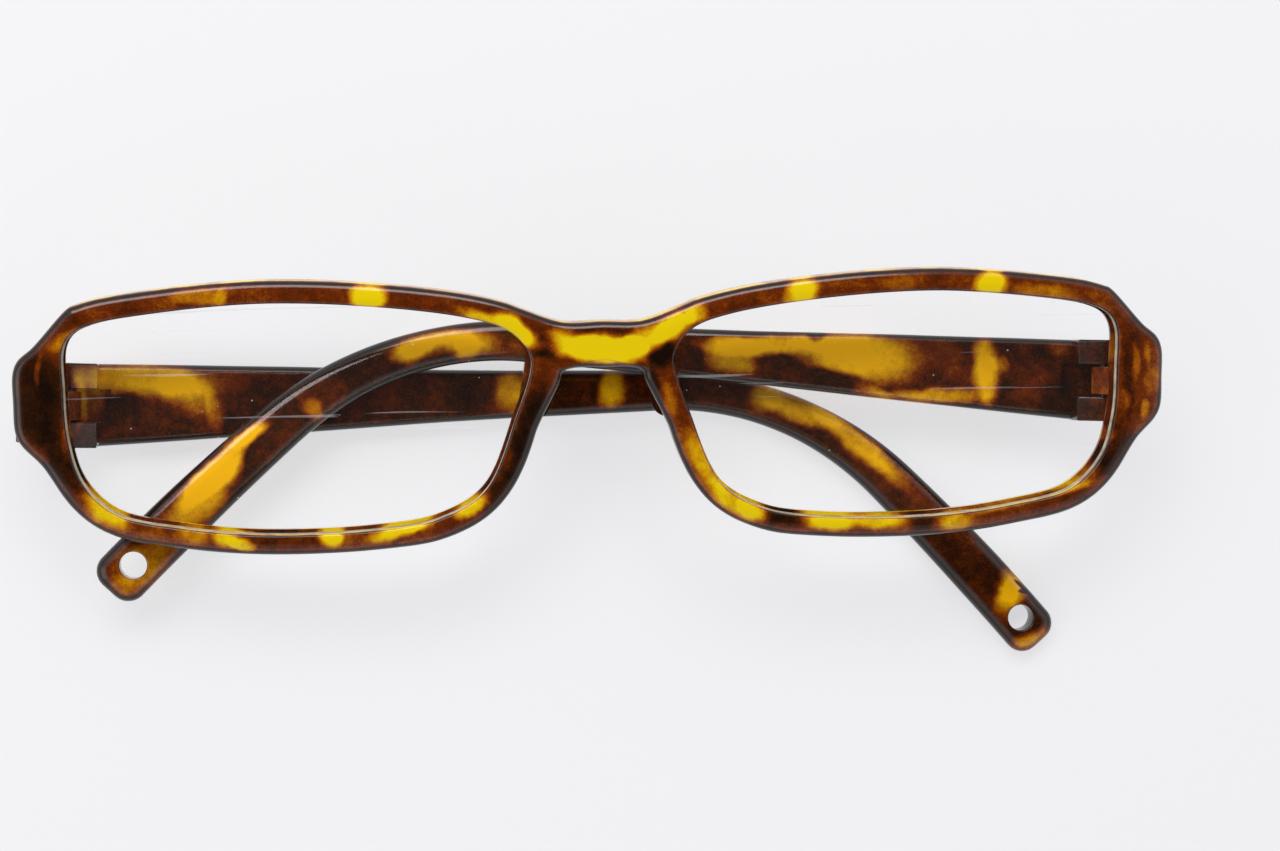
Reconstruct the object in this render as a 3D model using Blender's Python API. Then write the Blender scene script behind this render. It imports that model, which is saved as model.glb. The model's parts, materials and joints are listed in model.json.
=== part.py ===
"""Folding reading glasses in tortoiseshell plastic, lying folded on a table.

The frame: +X to the right and +Y towards the brow, as the glasses are seen from above,
+Z up from the table. The origin lies on the flat outer face of the left temple, under the
middle of the bridge. The left temple lies on the table, the right temple crosses over it and
the front lies on top. Left and right are as seen from above, with the front facing up.

The front is drawn flat in its own axes: x to the right, y towards the brow and z out of its
face, from the point of the face between the two hinges. It is then curved and tilted.
"""

import math

import bmesh
import bpy
import numpy as np
from mathutils import Matrix, Vector

MM = 0.001

# Front: rims, bridge and lugs
FRONT_THICKNESS = 3.6 * MM
FRONT_CURVE_RADIUS = 900.0 * MM      # slight wrap of the whole front, seen from the brow
LENS_OPENING_WIDTH = 53.6 * MM
LENS_OPENING_HEIGHT = 26.9 * MM
LENS_GAP = 16.6 * MM                 # least distance between the two lens openings
LUG_REACH = 5.8 * MM                 # from the lens opening's side to the lug's outer side
OPENING_DROP = 1.3 * MM              # how far the openings' middle lies below the hinges
RIM_TOP = 2.6 * MM
RIM_BOTTOM = 2.4 * MM
RIM_TEMPORAL = 2.9 * MM
RIM_NASAL = 3.5 * MM
RIM_NASAL_CORNER = 2.5 * MM          # at the lower corner beside the nose
RIM_EDGE_ROUND = 0.7 * MM
RIM_INNER_ROUND = 0.35 * MM
BRIDGE_TOP = 9.4 * MM                # height of the bridge's two edges above the hinges
BRIDGE_BOTTOM = 4.0 * MM
BRIDGE_TOP_FLAT = 9.2 * MM           # straight length of its upper edge
BRIDGE_ARCH = 9.8 * MM               # width of the arch under it, at its shoulders
RIM_TO_BRIDGE_TOP = 1.6 * MM         # the rim's own curve starts this far above the bridge
RIM_TO_BRIDGE_BOTTOM = 4.9 * MM      # and this far below it
LUG_HEIGHT = 10.1 * MM
LUG_CORNER = 1.6 * MM
LUG_TO_RIM_TOP = 5.8 * MM            # the rim's own curve starts this far above the lug
LUG_TO_RIM_BOTTOM = 5.0 * MM         # and this far below it

# The lens opening's shape, in shares of its half width and half height, nose side at -1
OPENING_SHAPE = (
    (-0.966, 0.617), (-0.903, 0.736), (-0.746, 0.840), (-0.358, 0.952), (0.160, 1.000),
    (0.642, 0.922), (0.877, 0.840), (0.959, 0.758), (0.996, 0.630), (1.000, 0.305),
    (0.989, -0.156), (0.933, -0.528), (0.795, -0.796), (0.511, -0.929), (0.146, -1.000),
    (-0.343, -0.974), (-0.590, -0.892), (-0.791, -0.654), (-0.925, -0.052), (-1.000, 0.461),
)

# The lug's corners in shares of its corner size: in from its outer side, out past its end
LUG_LOWER_CORNER = ((1.88, 1.44), (0.45, -0.10), (0.06, -1.00))
LUG_UPPER_CORNER = ((0.06, -1.00), (0.45, -0.10), (1.55, 0.85))

# Half of the arch under the bridge, in shares of its half width: out, down from its top
ARCH_SHAPE = ((0.0, 0.0), (0.72, 0.01), (0.94, 0.10), (1.03, 0.35))

# Lenses, held in a groove all round the opening
LENS_EDGE = 1.8 * MM
LENS_BITE = 0.6 * MM                 # how far the lens reaches into its groove
LENS_BULGE = 0.7 * MM
GROOVE_CLEARANCE = 0.25 * MM

# Hinges: the front has the middle knuckle, the temple the two outer ones
HINGE_FROM_LUG_FACE = 5.5 * MM       # from the lug's outer side in to the hinge axis
HINGE_DEPTH = 8.5 * MM               # from the face at the bridge back to the hinge axis
FRONT_TILT = math.radians(7.0)       # brow edge leans forward of the hinge axes
ARM_LEAN = math.radians(2.56)        # both folded arms lean the same way in loose hinges
KNUCKLE_RADIUS = 1.6 * MM
KNUCKLE_HEIGHT = 3.3 * MM
KNUCKLE_ROOT_INNER = 0.6 * MM        # the middle knuckle's root starts this far inboard
EAR_HEIGHT = 3.0 * MM
EAR_GAP = 0.3 * MM                   # between the middle knuckle and each ear
PIN_RADIUS = 0.7 * MM
PIN_CLEARANCE = 0.1 * MM
TURN_CLEARANCE = 0.3 * MM            # round a turning knuckle
BUTT_SETBACK = 0.7 * MM              # the arm's butt end stands this far before the axis
BUTT_GAP = 0.3 * MM                  # from the open arm's butt end to the lug
LUG_BLOCK_WIDTH = 5.0 * MM           # of the lug's block behind the face
LUG_BLOCK_INSET = 0.7 * MM           # of that block's ends inside the lug's ends
ROOT_DEPTH = 0.5 * MM                # how far the hinge's solids reach into the rim's back

# Temples (arms)
TEMPLE_LENGTH = 130.2 * MM           # from the hinge axis along the middle line
TEMPLE_THICKNESS = 3.3 * MM
TIP_THICKNESS = 2.7 * MM
TEMPLE_INSET = 0.1 * MM              # arm's outer face inside the lug's outer side
TEMPLE_EDGE_ROUND = 1.0 * MM
TEMPLE_RISE = math.radians(2.65)     # of the straight part's middle line
STRAIGHT_LENGTH = 70.5 * MM
BEND_LENGTH = 31.8 * MM
BEND_TURN = math.radians(45.3)
TIP_TURN = math.radians(5.2)         # the further slight curve up to the tip
TIP_CORNER = 2.3 * MM
CORD_HOLE_RADIUS = 1.6 * MM
CORD_HOLE_FROM_TIP = 4.2 * MM
EAR_LENGTH = 3.4 * MM                # from the hinge axis to the step on the arm
EAR_STEP_TOP = 0.2 * MM              # the step's top edge beyond the hinge axis
EAR_ROOT_DEPTH = 0.5 * MM            # how far the ears' roots reach into the arm
SLOT_LENGTH = 4.8 * MM               # shallow slot between the ears
SLOT_DEPTH = 0.5 * MM
ARM_HEIGHTS = (                      # distance along the middle line, height there
    (0.0 * MM, 10.0 * MM), (11.0 * MM, 9.2 * MM), (18.0 * MM, 8.6 * MM),
    (26.0 * MM, 8.0 * MM), (43.0 * MM, 6.4 * MM), (52.0 * MM, 5.8 * MM),
    (63.0 * MM, 5.3 * MM), (74.0 * MM, 4.75 * MM), (82.0 * MM, 4.7 * MM),
    (90.0 * MM, 5.0 * MM), (103.0 * MM, 5.9 * MM), (118.0 * MM, 6.5 * MM),
)

# Nose pads behind the bridge's ends
PAD_WIDTH = 3.6 * MM
PAD_LENGTH = 9.6 * MM
PAD_HEIGHT = 3.0 * MM
PAD_TOP = 7.2 * MM                   # upper end above the hinges
PAD_FROM_OPENING = 1.4 * MM          # upper end's middle, from the lens opening's side
PAD_SLANT = math.radians(9.0)
PAD_SEAT_GAP = 0.3 * MM
PAD_PROFILE = (                      # share of the half width, share of the height
    (1.0, 0.0), (1.0, 0.55), (0.93, 0.8), (0.7, 0.95), (0.35, 1.0),
)

# How the folded pieces lie
STACK_GAP = 0.3 * MM                 # between the two arms where they cross

# Worked out from the sizes above
FRONT_WIDTH = LENS_GAP + 2 * (LENS_OPENING_WIDTH + LUG_REACH)
HALF_WIDTH = FRONT_WIDTH / 2
PIVOT_X = HALF_WIDTH - HINGE_FROM_LUG_FACE
ARM_OUTER = HINGE_FROM_LUG_FACE - TEMPLE_INSET
ARM_INNER = ARM_OUTER - TEMPLE_THICKNESS
STACK_LIFT = TEMPLE_THICKNESS + STACK_GAP
FRONT_ROLL = math.asin(STACK_LIFT / (2 * PIVOT_X))
OPENING_CENTRE = np.array([LENS_GAP / 2 + LENS_OPENING_WIDTH / 2, -OPENING_DROP])
OPENING_HALF = np.array([LENS_OPENING_WIDTH / 2, LENS_OPENING_HEIGHT / 2])
LUG_MIDDLE = HINGE_DEPTH * math.tan(FRONT_TILT)
LUG_REAR = BUTT_SETBACK + BUTT_GAP
BORE_RADIUS = PIN_RADIUS + PIN_CLEARANCE
PIN_LENGTH = KNUCKLE_HEIGHT + 2 * EAR_GAP + 2 * EAR_HEIGHT

# Colours, roughness and metallic value of the pieces
FINISHES = {
    "front_frame": ((0.30, 0.12, 0.02), 0.15, 0.0),
    "lens": ((0.95, 0.97, 0.97), 0.03, 0.0),
    "temple": ((0.42, 0.20, 0.03), 0.15, 0.0),
    "hinge_pin": ((0.20, 0.08, 0.02), 0.30, 0.0),
    "nose_pad": ((0.16, 0.06, 0.02), 0.25, 0.0),
}

ROUND_STEPS = 3                      # facets of a rounded edge
BORE_SIDES = 24
PAD_END_SIDES = 8
OPENING_STEPS = 72
FRONT_STEPS = 170
ARM_STEPS = 100
GUIDE_STEPS = 60                    # of the rim's own outline, where the front follows it
ARM_STATIONS = 400
TURN_LENGTH = 4.0 * MM               # a radian of turn takes as many points as this length
SMOOTH_ANGLE = math.radians(35.0)
LENS_RINGS = (1.0, 0.75, 0.5, 0.25)  # shares of the lens's outline, from its edge in
CUT_OVERRUN = 2.0 * MM               # how far a cutter reaches past what it cuts


# ---------------------------------------------------------------- outlines and meshes

def smooth_loop(points, steps=12):
    """Closed centripetal Catmull-Rom curve through the points."""
    points = np.asarray(points, float)
    count = len(points)
    curve = []
    for i in range(count):
        p0, p1, p2, p3 = (points[(i + k) % count] for k in (-1, 0, 1, 2))
        t1 = np.linalg.norm(p1 - p0) ** 0.5
        t2 = t1 + np.linalg.norm(p2 - p1) ** 0.5
        t3 = t2 + np.linalg.norm(p3 - p2) ** 0.5
        t = np.linspace(t1, t2, steps, endpoint=False)[:, None]
        a1 = (t1 - t) / t1 * p0 + t / t1 * p1
        a2 = (t2 - t) / (t2 - t1) * p1 + (t - t1) / (t2 - t1) * p2
        a3 = (t3 - t) / (t3 - t2) * p2 + (t - t2) / (t3 - t2) * p3
        b1 = (t2 - t) / t2 * a1 + t / t2 * a2
        b2 = (t3 - t) / (t3 - t1) * a2 + (t - t1) / (t3 - t1) * a3
        curve.append((t2 - t) / (t2 - t1) * b1 + (t - t1) / (t2 - t1) * b2)
    return np.concatenate(curve)


def spread_points(loop, count):
    """The loop with count points, closer together where it turns."""
    step = np.roll(loop, -1, axis=0) - loop
    length = np.linalg.norm(step, axis=1)
    angle = np.arctan2(step[:, 1], step[:, 0])
    turn = np.abs((np.roll(angle, -1) - angle + np.pi) % (2 * np.pi) - np.pi)
    cost = np.concatenate([[0.0], np.cumsum(length + TURN_LENGTH * turn)])
    closed = np.concatenate([loop, loop[:1]])
    wanted = np.linspace(0.0, cost[-1], count, endpoint=False)
    return np.stack([np.interp(wanted, cost, closed[:, k]) for k in (0, 1)], axis=1)


def outward_normals(loop):
    """Unit normals that point out of an anticlockwise loop, scaled so offsets keep width."""
    ahead = np.roll(loop, -1, axis=0) - loop
    ahead /= np.linalg.norm(ahead, axis=1)[:, None]
    behind = np.roll(ahead, 1, axis=0)
    middle = ahead + behind
    middle /= np.linalg.norm(middle, axis=1)[:, None]
    stretch = 1.0 / np.maximum((middle * ahead).sum(axis=1), 0.5)
    return np.stack([middle[:, 1], -middle[:, 0]], axis=1) * stretch[:, None]


def offset_loop(loop, distance):
    """The loop moved outwards by a distance, one value or one for each point."""
    return loop + outward_normals(loop) * np.reshape(distance, (-1, 1))


def round_profile(radius):
    """Inset and depth of a rounded edge, from the flat face to the side."""
    angles = np.linspace(0.0, math.pi / 2, ROUND_STEPS + 1)
    return [(radius * (1 - math.sin(a)), radius * (1 - math.cos(a))) for a in angles]


def ring_faces(first, second):
    """Quads between two rows of vertices that run round the same way."""
    count = len(first)
    return [(first[i], first[(i + 1) % count], second[(i + 1) % count], second[i])
            for i in range(count)]


def mesh_object(name, vertices, faces):
    """A mesh object in the scene, its faces turned outwards."""
    mesh = bpy.data.meshes.new(name)
    mesh.from_pydata([tuple(map(float, v)) for v in vertices], [], faces)
    turn_outwards(mesh)
    obj = bpy.data.objects.new(name, mesh)
    bpy.context.scene.collection.objects.link(obj)
    return obj


def turn_outwards(mesh):
    work = bmesh.new()
    work.from_mesh(mesh)
    bmesh.ops.recalc_face_normals(work, faces=work.faces)
    work.to_mesh(mesh)
    work.free()


def lofted(name, rows):
    """A solid through rows of points, closed by its first and last row."""
    count = len(rows[0])
    vertices = np.concatenate(rows)
    faces = []
    for k in range(len(rows) - 1):
        faces += ring_faces(range(k * count, (k + 1) * count),
                            range((k + 1) * count, (k + 2) * count))
    faces.append(tuple(range(count)))
    faces.append(tuple(range(len(vertices) - count, len(vertices))))
    return mesh_object(name, vertices, faces)


def prism(name, profile, low, high):
    """A profile in x and z, carried along y from low to high."""
    rows = [np.array([(x, y, z) for x, z in profile]) for y in (low, high)]
    return lofted(name, rows)


def cylinder(name, radius, low, high, sides=BORE_SIDES):
    """A round bar along y."""
    turns = [2 * math.pi * k / sides for k in range(sides)]
    return prism(name, [(radius * math.cos(a), radius * math.sin(a)) for a in turns], low, high)


def convex_outline(points):
    """The convex outline of some points, anticlockwise."""
    points = sorted(points)
    halves = []
    for ordered in (points, points[::-1]):
        chain = []
        for p in ordered:
            while len(chain) > 1 and cross(chain[-2], chain[-1], p) <= 1e-12:
                chain.pop()
            chain.append(p)
        halves += chain[:-1]
    return halves


def cross(a, b, c):
    return (b[0] - a[0]) * (c[1] - a[1]) - (b[1] - a[1]) * (c[0] - a[0])


def knuckle_outline(corners):
    """A knuckle round the hinge axis, run out to the given corners."""
    turns = [2 * math.pi * k / BORE_SIDES for k in range(BORE_SIDES)]
    circle = [(KNUCKLE_RADIUS * math.cos(a), KNUCKLE_RADIUS * math.sin(a)) for a in turns]
    return convex_outline(circle + corners)


# ---------------------------------------------------------------- object helpers

def material(name, finish):
    colour, roughness, metallic = FINISHES[finish]
    made = bpy.data.materials.new(name)
    made.use_nodes = True
    shader = made.node_tree.nodes["Principled BSDF"]
    shader.inputs["Base Color"].default_value = (*colour, 1.0)
    shader.inputs["Roughness"].default_value = roughness
    shader.inputs["Metallic"].default_value = metallic
    return made


def finish_piece(obj, finish, parent):
    """Material, smooth shading and parent of a finished piece."""
    obj.data.materials.append(material(obj.name, finish))
    obj.data.shade_smooth()
    obj.data.set_sharp_from_angle(angle=SMOOTH_ANGLE)
    obj.parent = parent
    return obj


def helper(obj):
    """Marks a solid that only shapes another one."""
    obj.hide_render = True
    obj.display_type = "WIRE"
    return obj


def join(obj, tool, operation):
    step = obj.modifiers.new(operation.lower() + "_" + tool.name, "BOOLEAN")
    step.operation = operation
    step.solver = "EXACT"
    step.object = helper(tool)


def empty(name, matrix, parent=None):
    made = bpy.data.objects.new(name, None)
    bpy.context.scene.collection.objects.link(made)
    made.parent = parent
    made.matrix_local = matrix
    return made


# ---------------------------------------------------------------- the front

def opening_loop(count):
    """The right lens opening, anticlockwise."""
    shape = np.array(OPENING_SHAPE)[::-1]
    return spread_points(smooth_loop(shape * OPENING_HALF + OPENING_CENTRE), count)


def rim_loop(count):
    """The right rim's outer side, by its own width on each side and at the nose corner."""
    loop = opening_loop(count)
    normals = outward_normals(loop)
    normals /= np.linalg.norm(normals, axis=1)[:, None]
    across = np.where(normals[:, 0] > 0, RIM_TEMPORAL, RIM_NASAL)
    upright = np.where(normals[:, 1] > 0, RIM_TOP, RIM_BOTTOM)
    width = np.hypot(across * normals[:, 0], upright * normals[:, 1])
    in_corner = 2 * np.prod(np.minimum(normals, 0.0), axis=1)
    width += (RIM_NASAL_CORNER - width) * in_corner
    return offset_loop(loop, width)


def lug_points():
    """The right lug's outline, from its lower end to its upper end."""
    top = LUG_MIDDLE + LUG_HEIGHT / 2
    bottom = LUG_MIDDLE - LUG_HEIGHT / 2
    lower = [(HALF_WIDTH - inwards * LUG_CORNER, bottom - past * LUG_CORNER)
             for inwards, past in LUG_LOWER_CORNER]
    upper = [(HALF_WIDTH - inwards * LUG_CORNER, top + past * LUG_CORNER)
             for inwards, past in LUG_UPPER_CORNER]
    return lower + [(HALF_WIDTH, LUG_MIDDLE)] + upper


def rim_part(rim, keep, upwards):
    """The rim's points above or below its middle that are kept, in anticlockwise order."""
    height = (rim[:, 1] - OPENING_CENTRE[1]) * upwards
    part = rim[keep & (height > 0)]
    across = (part[:, 0] - OPENING_CENTRE[0]) * upwards
    up = (part[:, 1] - OPENING_CENTRE[1]) * upwards + OPENING_HALF[1]
    return part[np.argsort(np.arctan2(up, across))]


def front_loop(count):
    """The whole front's outer side: rims, lugs and bridge as one smooth loop."""
    rim = rim_loop(GUIDE_STEPS)
    outer_half = rim[:, 0] > OPENING_CENTRE[0]
    over_lug = rim[:, 1] > LUG_MIDDLE + LUG_HEIGHT / 2 + LUG_TO_RIM_TOP
    under_lug = rim[:, 1] < LUG_MIDDLE - LUG_HEIGHT / 2 - LUG_TO_RIM_BOTTOM
    over_bridge = rim[:, 1] > BRIDGE_TOP + RIM_TO_BRIDGE_TOP
    under_bridge = rim[:, 1] < BRIDGE_BOTTOM - RIM_TO_BRIDGE_BOTTOM
    arch = BRIDGE_ARCH / 2
    right = [(out * arch, BRIDGE_BOTTOM - down * arch) for out, down in ARCH_SHAPE]
    right += list(rim_part(rim, np.where(outer_half, under_lug, under_bridge), -1))
    right += lug_points()
    right += list(rim_part(rim, np.where(outer_half, over_lug, over_bridge), 1))
    right += [(BRIDGE_TOP_FLAT / 2, BRIDGE_TOP), (0.0, BRIDGE_TOP)]
    left = [(-x, y) for x, y in right[-2:0:-1]]
    return spread_points(smooth_loop(right + left, 8), count)


def wrap_drop(x):
    """The front's slight curve: how far it falls away, with the square of x."""
    return x ** 2 / (2 * FRONT_CURVE_RADIUS)


def at_depth(loop, depth):
    """The loop with its z at minus the depth, one value or one for each point."""
    return np.column_stack([loop, -np.broadcast_to(depth, len(loop))])


def groove_profile():
    """Offset into the rim and depth of the inner side: both lips and the lens groove."""
    half = LENS_EDGE / 2 + GROOVE_CLEARANCE
    middle = FRONT_THICKNESS / 2
    floor = LENS_BITE + GROOVE_CLEARANCE
    edge = RIM_INNER_ROUND
    return [(edge, 0.0), (0.0, edge), (0.0, middle - half), (floor, middle - half),
            (floor, middle + half), (0.0, middle + half), (0.0, FRONT_THICKNESS - edge),
            (edge, FRONT_THICKNESS)]


def outer_profile():
    """Offset and depth of the outer side, rounded at the face and at the back."""
    face = [(-inset, depth) for inset, depth in round_profile(RIM_EDGE_ROUND)]
    back = [(offset, FRONT_THICKNESS - depth) for offset, depth in face[::-1]]
    return face + back


def rim_plate():
    """The front without its hinges: an outer side, two grooved openings and two faces."""
    outer = front_loop(FRONT_STEPS)
    right = opening_loop(OPENING_STEPS)
    left = right[::-1] * (-1.0, 1.0)
    work = bmesh.new()
    faces_edges = ([], [])
    for loop, profile in ((outer, outer_profile()), (right, groove_profile()),
                          (left, groove_profile())):
        rows = []
        for offset, depth in profile:
            points = at_depth(offset_loop(loop, offset), depth)
            rows.append([work.verts.new(p) for p in points])
        for first, second in zip(rows, rows[1:]):
            for quad in ring_faces(first, second):
                work.faces.new(quad)
        for edges, row in zip(faces_edges, (rows[0], rows[-1])):
            edges += [work.edges.get((row[i - 1], row[i])) for i in range(len(row))]
    for edges in faces_edges:
        bmesh.ops.triangle_fill(work, use_beauty=True, use_dissolve=False, edges=edges)
    bmesh.ops.recalc_face_normals(work, faces=work.faces)
    for vertex in work.verts:
        vertex.co.z -= wrap_drop(vertex.co.x)
    mesh = bpy.data.meshes.new("front_frame")
    work.to_mesh(mesh)
    work.free()
    obj = bpy.data.objects.new("front_frame", mesh)
    bpy.context.scene.collection.objects.link(obj)
    return obj


def hinge_root():
    """Height above the hinge axis at which the hinge's solids end, inside the rim's back."""
    return HINGE_DEPTH - wrap_drop(PIVOT_X) - FRONT_THICKNESS + ROOT_DEPTH


def rooted_prism(name, profile, half_height):
    """A prism whose corners beyond the knuckle follow the tilted back of the rim."""
    rows = []
    for y in (-half_height, half_height):
        lean = y * math.tan(FRONT_TILT)
        rows.append(np.array([(x, y, z + lean * (z > KNUCKLE_RADIUS)) for x, z in profile]))
    return lofted(name, rows)


def lug_block(side):
    """The solid block behind the lug, up to the face that the open arm meets."""
    root = hinge_root()
    inner = ARM_OUTER - LUG_BLOCK_WIDTH
    profile = [(inner, root), (inner, LUG_REAR), (ARM_OUTER, LUG_REAR), (ARM_OUTER, root)]
    profile = [(side * x, z) for x, z in profile]
    return rooted_prism("lug_block", profile, LUG_HEIGHT / 2 - LUG_BLOCK_INSET)


def middle_knuckle(side):
    root = hinge_root()
    corners = [(-KNUCKLE_ROOT_INNER, root), (ARM_INNER + TURN_CLEARANCE, root)]
    outline = [(side * x, z) for x, z in knuckle_outline(corners)]
    return rooted_prism("middle_knuckle", outline, KNUCKLE_HEIGHT / 2)


def front_frame(front, hinge_frames):
    """The moulded front: rim plate, and a lug block and a middle knuckle at each side."""
    obj = rim_plate()
    obj.parent = front
    reach = KNUCKLE_HEIGHT / 2 + EAR_GAP + EAR_HEIGHT + CUT_OVERRUN
    for side, frame in hinge_frames:
        block = lug_block(side)
        turning = cylinder("turning_space", KNUCKLE_RADIUS + TURN_CLEARANCE, -reach, reach)
        knuckle = middle_knuckle(side)
        bore = cylinder("pin_bore", BORE_RADIUS, -reach, reach)
        for tool, operation in ((block, "UNION"), (turning, "DIFFERENCE"),
                                (knuckle, "UNION"), (bore, "DIFFERENCE")):
            tool.parent = frame
            join(obj, tool, operation)
    return finish_piece(obj, "front_frame", front)


def lens(name, side, front):
    """A clear lens: rings inside its edge rise to a slight bulge at the middle."""
    edge_loop = offset_loop(opening_loop(OPENING_STEPS), LENS_BITE)
    middle_depth = FRONT_THICKNESS / 2
    rows = []
    for face in (1.0, -1.0):
        face_rows = []
        for share in LENS_RINGS:
            loop = OPENING_CENTRE + (edge_loop - OPENING_CENTRE) * share
            depth = middle_depth - face * LENS_EDGE / 2 - LENS_BULGE * (1 - share ** 2)
            face_rows.append(at_depth(loop, depth + wrap_drop(loop[:, 0])))
        rows += face_rows[::-1] if face > 0 else face_rows
    for row in rows:
        row[:, 0] *= side
    obj = lofted(name, rows)
    return finish_piece(obj, "lens", front)


def nose_pad(name, side, front):
    """A rounded pad that stands on the back of the rim beside the bridge."""
    half = PAD_WIDTH / 2
    straight = PAD_LENGTH - PAD_WIDTH
    turns = np.linspace(0.0, math.pi, PAD_END_SIDES + 1)
    upper = [(half * math.cos(a), half * math.sin(a)) for a in turns]
    lower = [(-x, -straight - y) for x, y in upper]
    loop = np.array(upper + lower)
    spine = (loop * (0.0, 1.0)).clip(-straight, 0.0)
    seat = FRONT_THICKNESS + PAD_SEAT_GAP
    rows = []
    for share, depth in PAD_PROFILE:
        rows.append(at_depth(spine + (loop - spine) * share, seat + depth * PAD_HEIGHT))
    place = (LENS_GAP / 2 - PAD_FROM_OPENING, PAD_TOP - half)
    cosine, sine = math.cos(PAD_SLANT), math.sin(PAD_SLANT)
    for row in rows:
        x = row[:, 0] * cosine - row[:, 1] * sine + place[0]
        y = row[:, 0] * sine + row[:, 1] * cosine + place[1]
        row[:, 0] = side * x
        row[:, 1] = y
    return finish_piece(lofted(name, rows), "nose_pad", front)


def hinge_pin(name, frame):
    obj = cylinder(name, PIN_RADIUS, -PIN_LENGTH / 2, PIN_LENGTH / 2)
    return finish_piece(obj, "hinge_pin", frame)


# ---------------------------------------------------------------- the arms

def arm_path(count=ARM_STATIONS):
    """Distance, place and heading along the arm's middle line, from the hinge axis."""
    along = np.linspace(0.0, TEMPLE_LENGTH, count)
    bend = np.clip((along - STRAIGHT_LENGTH) / BEND_LENGTH, 0.0, 1.0)
    tip_length = TEMPLE_LENGTH - STRAIGHT_LENGTH - BEND_LENGTH
    tip = np.clip((along - STRAIGHT_LENGTH - BEND_LENGTH) / tip_length, 0.0, 1.0)
    heading = TEMPLE_RISE - BEND_TURN * bend - TIP_TURN * tip
    step = TEMPLE_LENGTH / (count - 1)
    x = np.concatenate([[0.0], np.cumsum(np.cos(heading[:-1])) * step])
    y = np.concatenate([[0.0], np.cumsum(np.sin(heading[:-1])) * step])
    return along, np.column_stack([x, y]), heading


def arm_half_height(along):
    """Half the arm's height, its end rounded at both corners."""
    stations, heights = np.array(ARM_HEIGHTS).T
    half = np.interp(along, stations, heights) / 2
    into_corner = np.clip(along - (TEMPLE_LENGTH - TIP_CORNER), 0.0, TIP_CORNER)
    return half - TIP_CORNER + np.sqrt(TIP_CORNER ** 2 - into_corner ** 2)


def arm_loop(count):
    """The arm's side outline, anticlockwise, butt end and tip included."""
    along, place, heading = arm_path()
    half = arm_half_height(along)
    keep = np.arange(len(along)) % 8 == 0
    keep |= along > TEMPLE_LENGTH - TIP_CORNER
    sideways = np.column_stack([-np.sin(heading), np.cos(heading)]) * half[:, None]
    upper = (place + sideways)[keep][::-1]
    lower = (place - sideways)[keep]
    top = half[0]
    butt = np.array([(-BUTT_SETBACK, top), (-BUTT_SETBACK, 0.0), (-BUTT_SETBACK, -top)])
    return spread_points(np.concatenate([upper[:-1], butt, lower[1:]]), count)


def arm_blank(name, side):
    """The arm without its hinge ears: flat outer face, inner face thinning to the tip."""
    loop = arm_loop(ARM_STEPS)
    far_end = loop[:, 0].max()
    rows = []
    for inset, depth in round_profile(TEMPLE_EDGE_ROUND):
        rows.append(at_depth(offset_loop(loop, -inset), ARM_OUTER - depth))
    for inset, depth in round_profile(TEMPLE_EDGE_ROUND)[::-1]:
        points = offset_loop(loop, -inset)
        share = np.clip(points[:, 0] / far_end, 0.0, 1.0)
        thickness = TEMPLE_THICKNESS + (TIP_THICKNESS - TEMPLE_THICKNESS) * share
        rows.append(at_depth(points, ARM_OUTER - thickness + depth))
    for row in rows:
        row[:, 0] *= side
    return lofted(name, rows)


def hinge_ear(side, low):
    """An outer knuckle with its root on the arm's inner face."""
    root = -(ARM_INNER + EAR_ROOT_DEPTH)
    corners = [(EAR_LENGTH, EAR_STEP_TOP), (EAR_LENGTH, root), (0.0, root)]
    outline = [(side * x, z) for x, z in knuckle_outline(corners)]
    return prism("hinge_ear", outline, low, low + EAR_HEIGHT)


def temple(name, side, hinge):
    """An arm that turns on its hinge axis, which is its parent's y axis."""
    obj = arm_blank(name, side)
    obj.parent = hinge
    start = KNUCKLE_HEIGHT / 2 + EAR_GAP
    reach = start + EAR_HEIGHT + CUT_OVERRUN
    slot_floor = -(ARM_INNER + SLOT_DEPTH)
    slot_profile = [(-CUT_OVERRUN, KNUCKLE_RADIUS), (SLOT_LENGTH, KNUCKLE_RADIUS),
                    (SLOT_LENGTH, slot_floor), (-CUT_OVERRUN, slot_floor)]
    slot = prism("slot", [(side * x, z) for x, z in slot_profile], -start, start)
    tools = [(hinge_ear(side, start), "UNION"), (hinge_ear(side, -start - EAR_HEIGHT), "UNION"),
             (slot, "DIFFERENCE"),
             (cylinder("pin_bore", BORE_RADIUS, -reach, reach), "DIFFERENCE"),
             (cord_hole(side), "DIFFERENCE")]
    for tool, operation in tools:
        tool.parent = hinge
        join(obj, tool, operation)
    return finish_piece(obj, "temple", hinge)


def cord_hole(side):
    """The cutter of the round hole through the tip, for a neck cord."""
    along, place, _heading = arm_path()
    at = TEMPLE_LENGTH - CORD_HOLE_FROM_TIP
    centre = [np.interp(at, along, place[:, k]) for k in (0, 1)]
    turns = [2 * math.pi * k / BORE_SIDES for k in range(BORE_SIDES)]
    circle = np.array([(math.cos(a), math.sin(a)) for a in turns]) * CORD_HOLE_RADIUS
    circle = (circle + centre) * (side, 1.0)
    rows = [at_depth(circle, depth) for depth in (-CUT_OVERRUN, ARM_OUTER + CUT_OVERRUN)]
    return lofted("cord_hole", rows)


# ---------------------------------------------------------------- assembly

def front_pose():
    """The front on the folded arms: brow edge up, right side up, left hinge at its height."""
    turn = Matrix.Rotation(-FRONT_ROLL, 4, "Y") @ Matrix.Rotation(FRONT_TILT, 4, "X")
    left_pivot = turn @ Vector((-PIVOT_X, 0.0, -HINGE_DEPTH))
    middle = turn @ Vector((0.0, 0.0, -HINGE_DEPTH))
    return Matrix.Translation((-middle.x, -middle.y, ARM_OUTER - left_pivot.z)) @ turn


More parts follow.
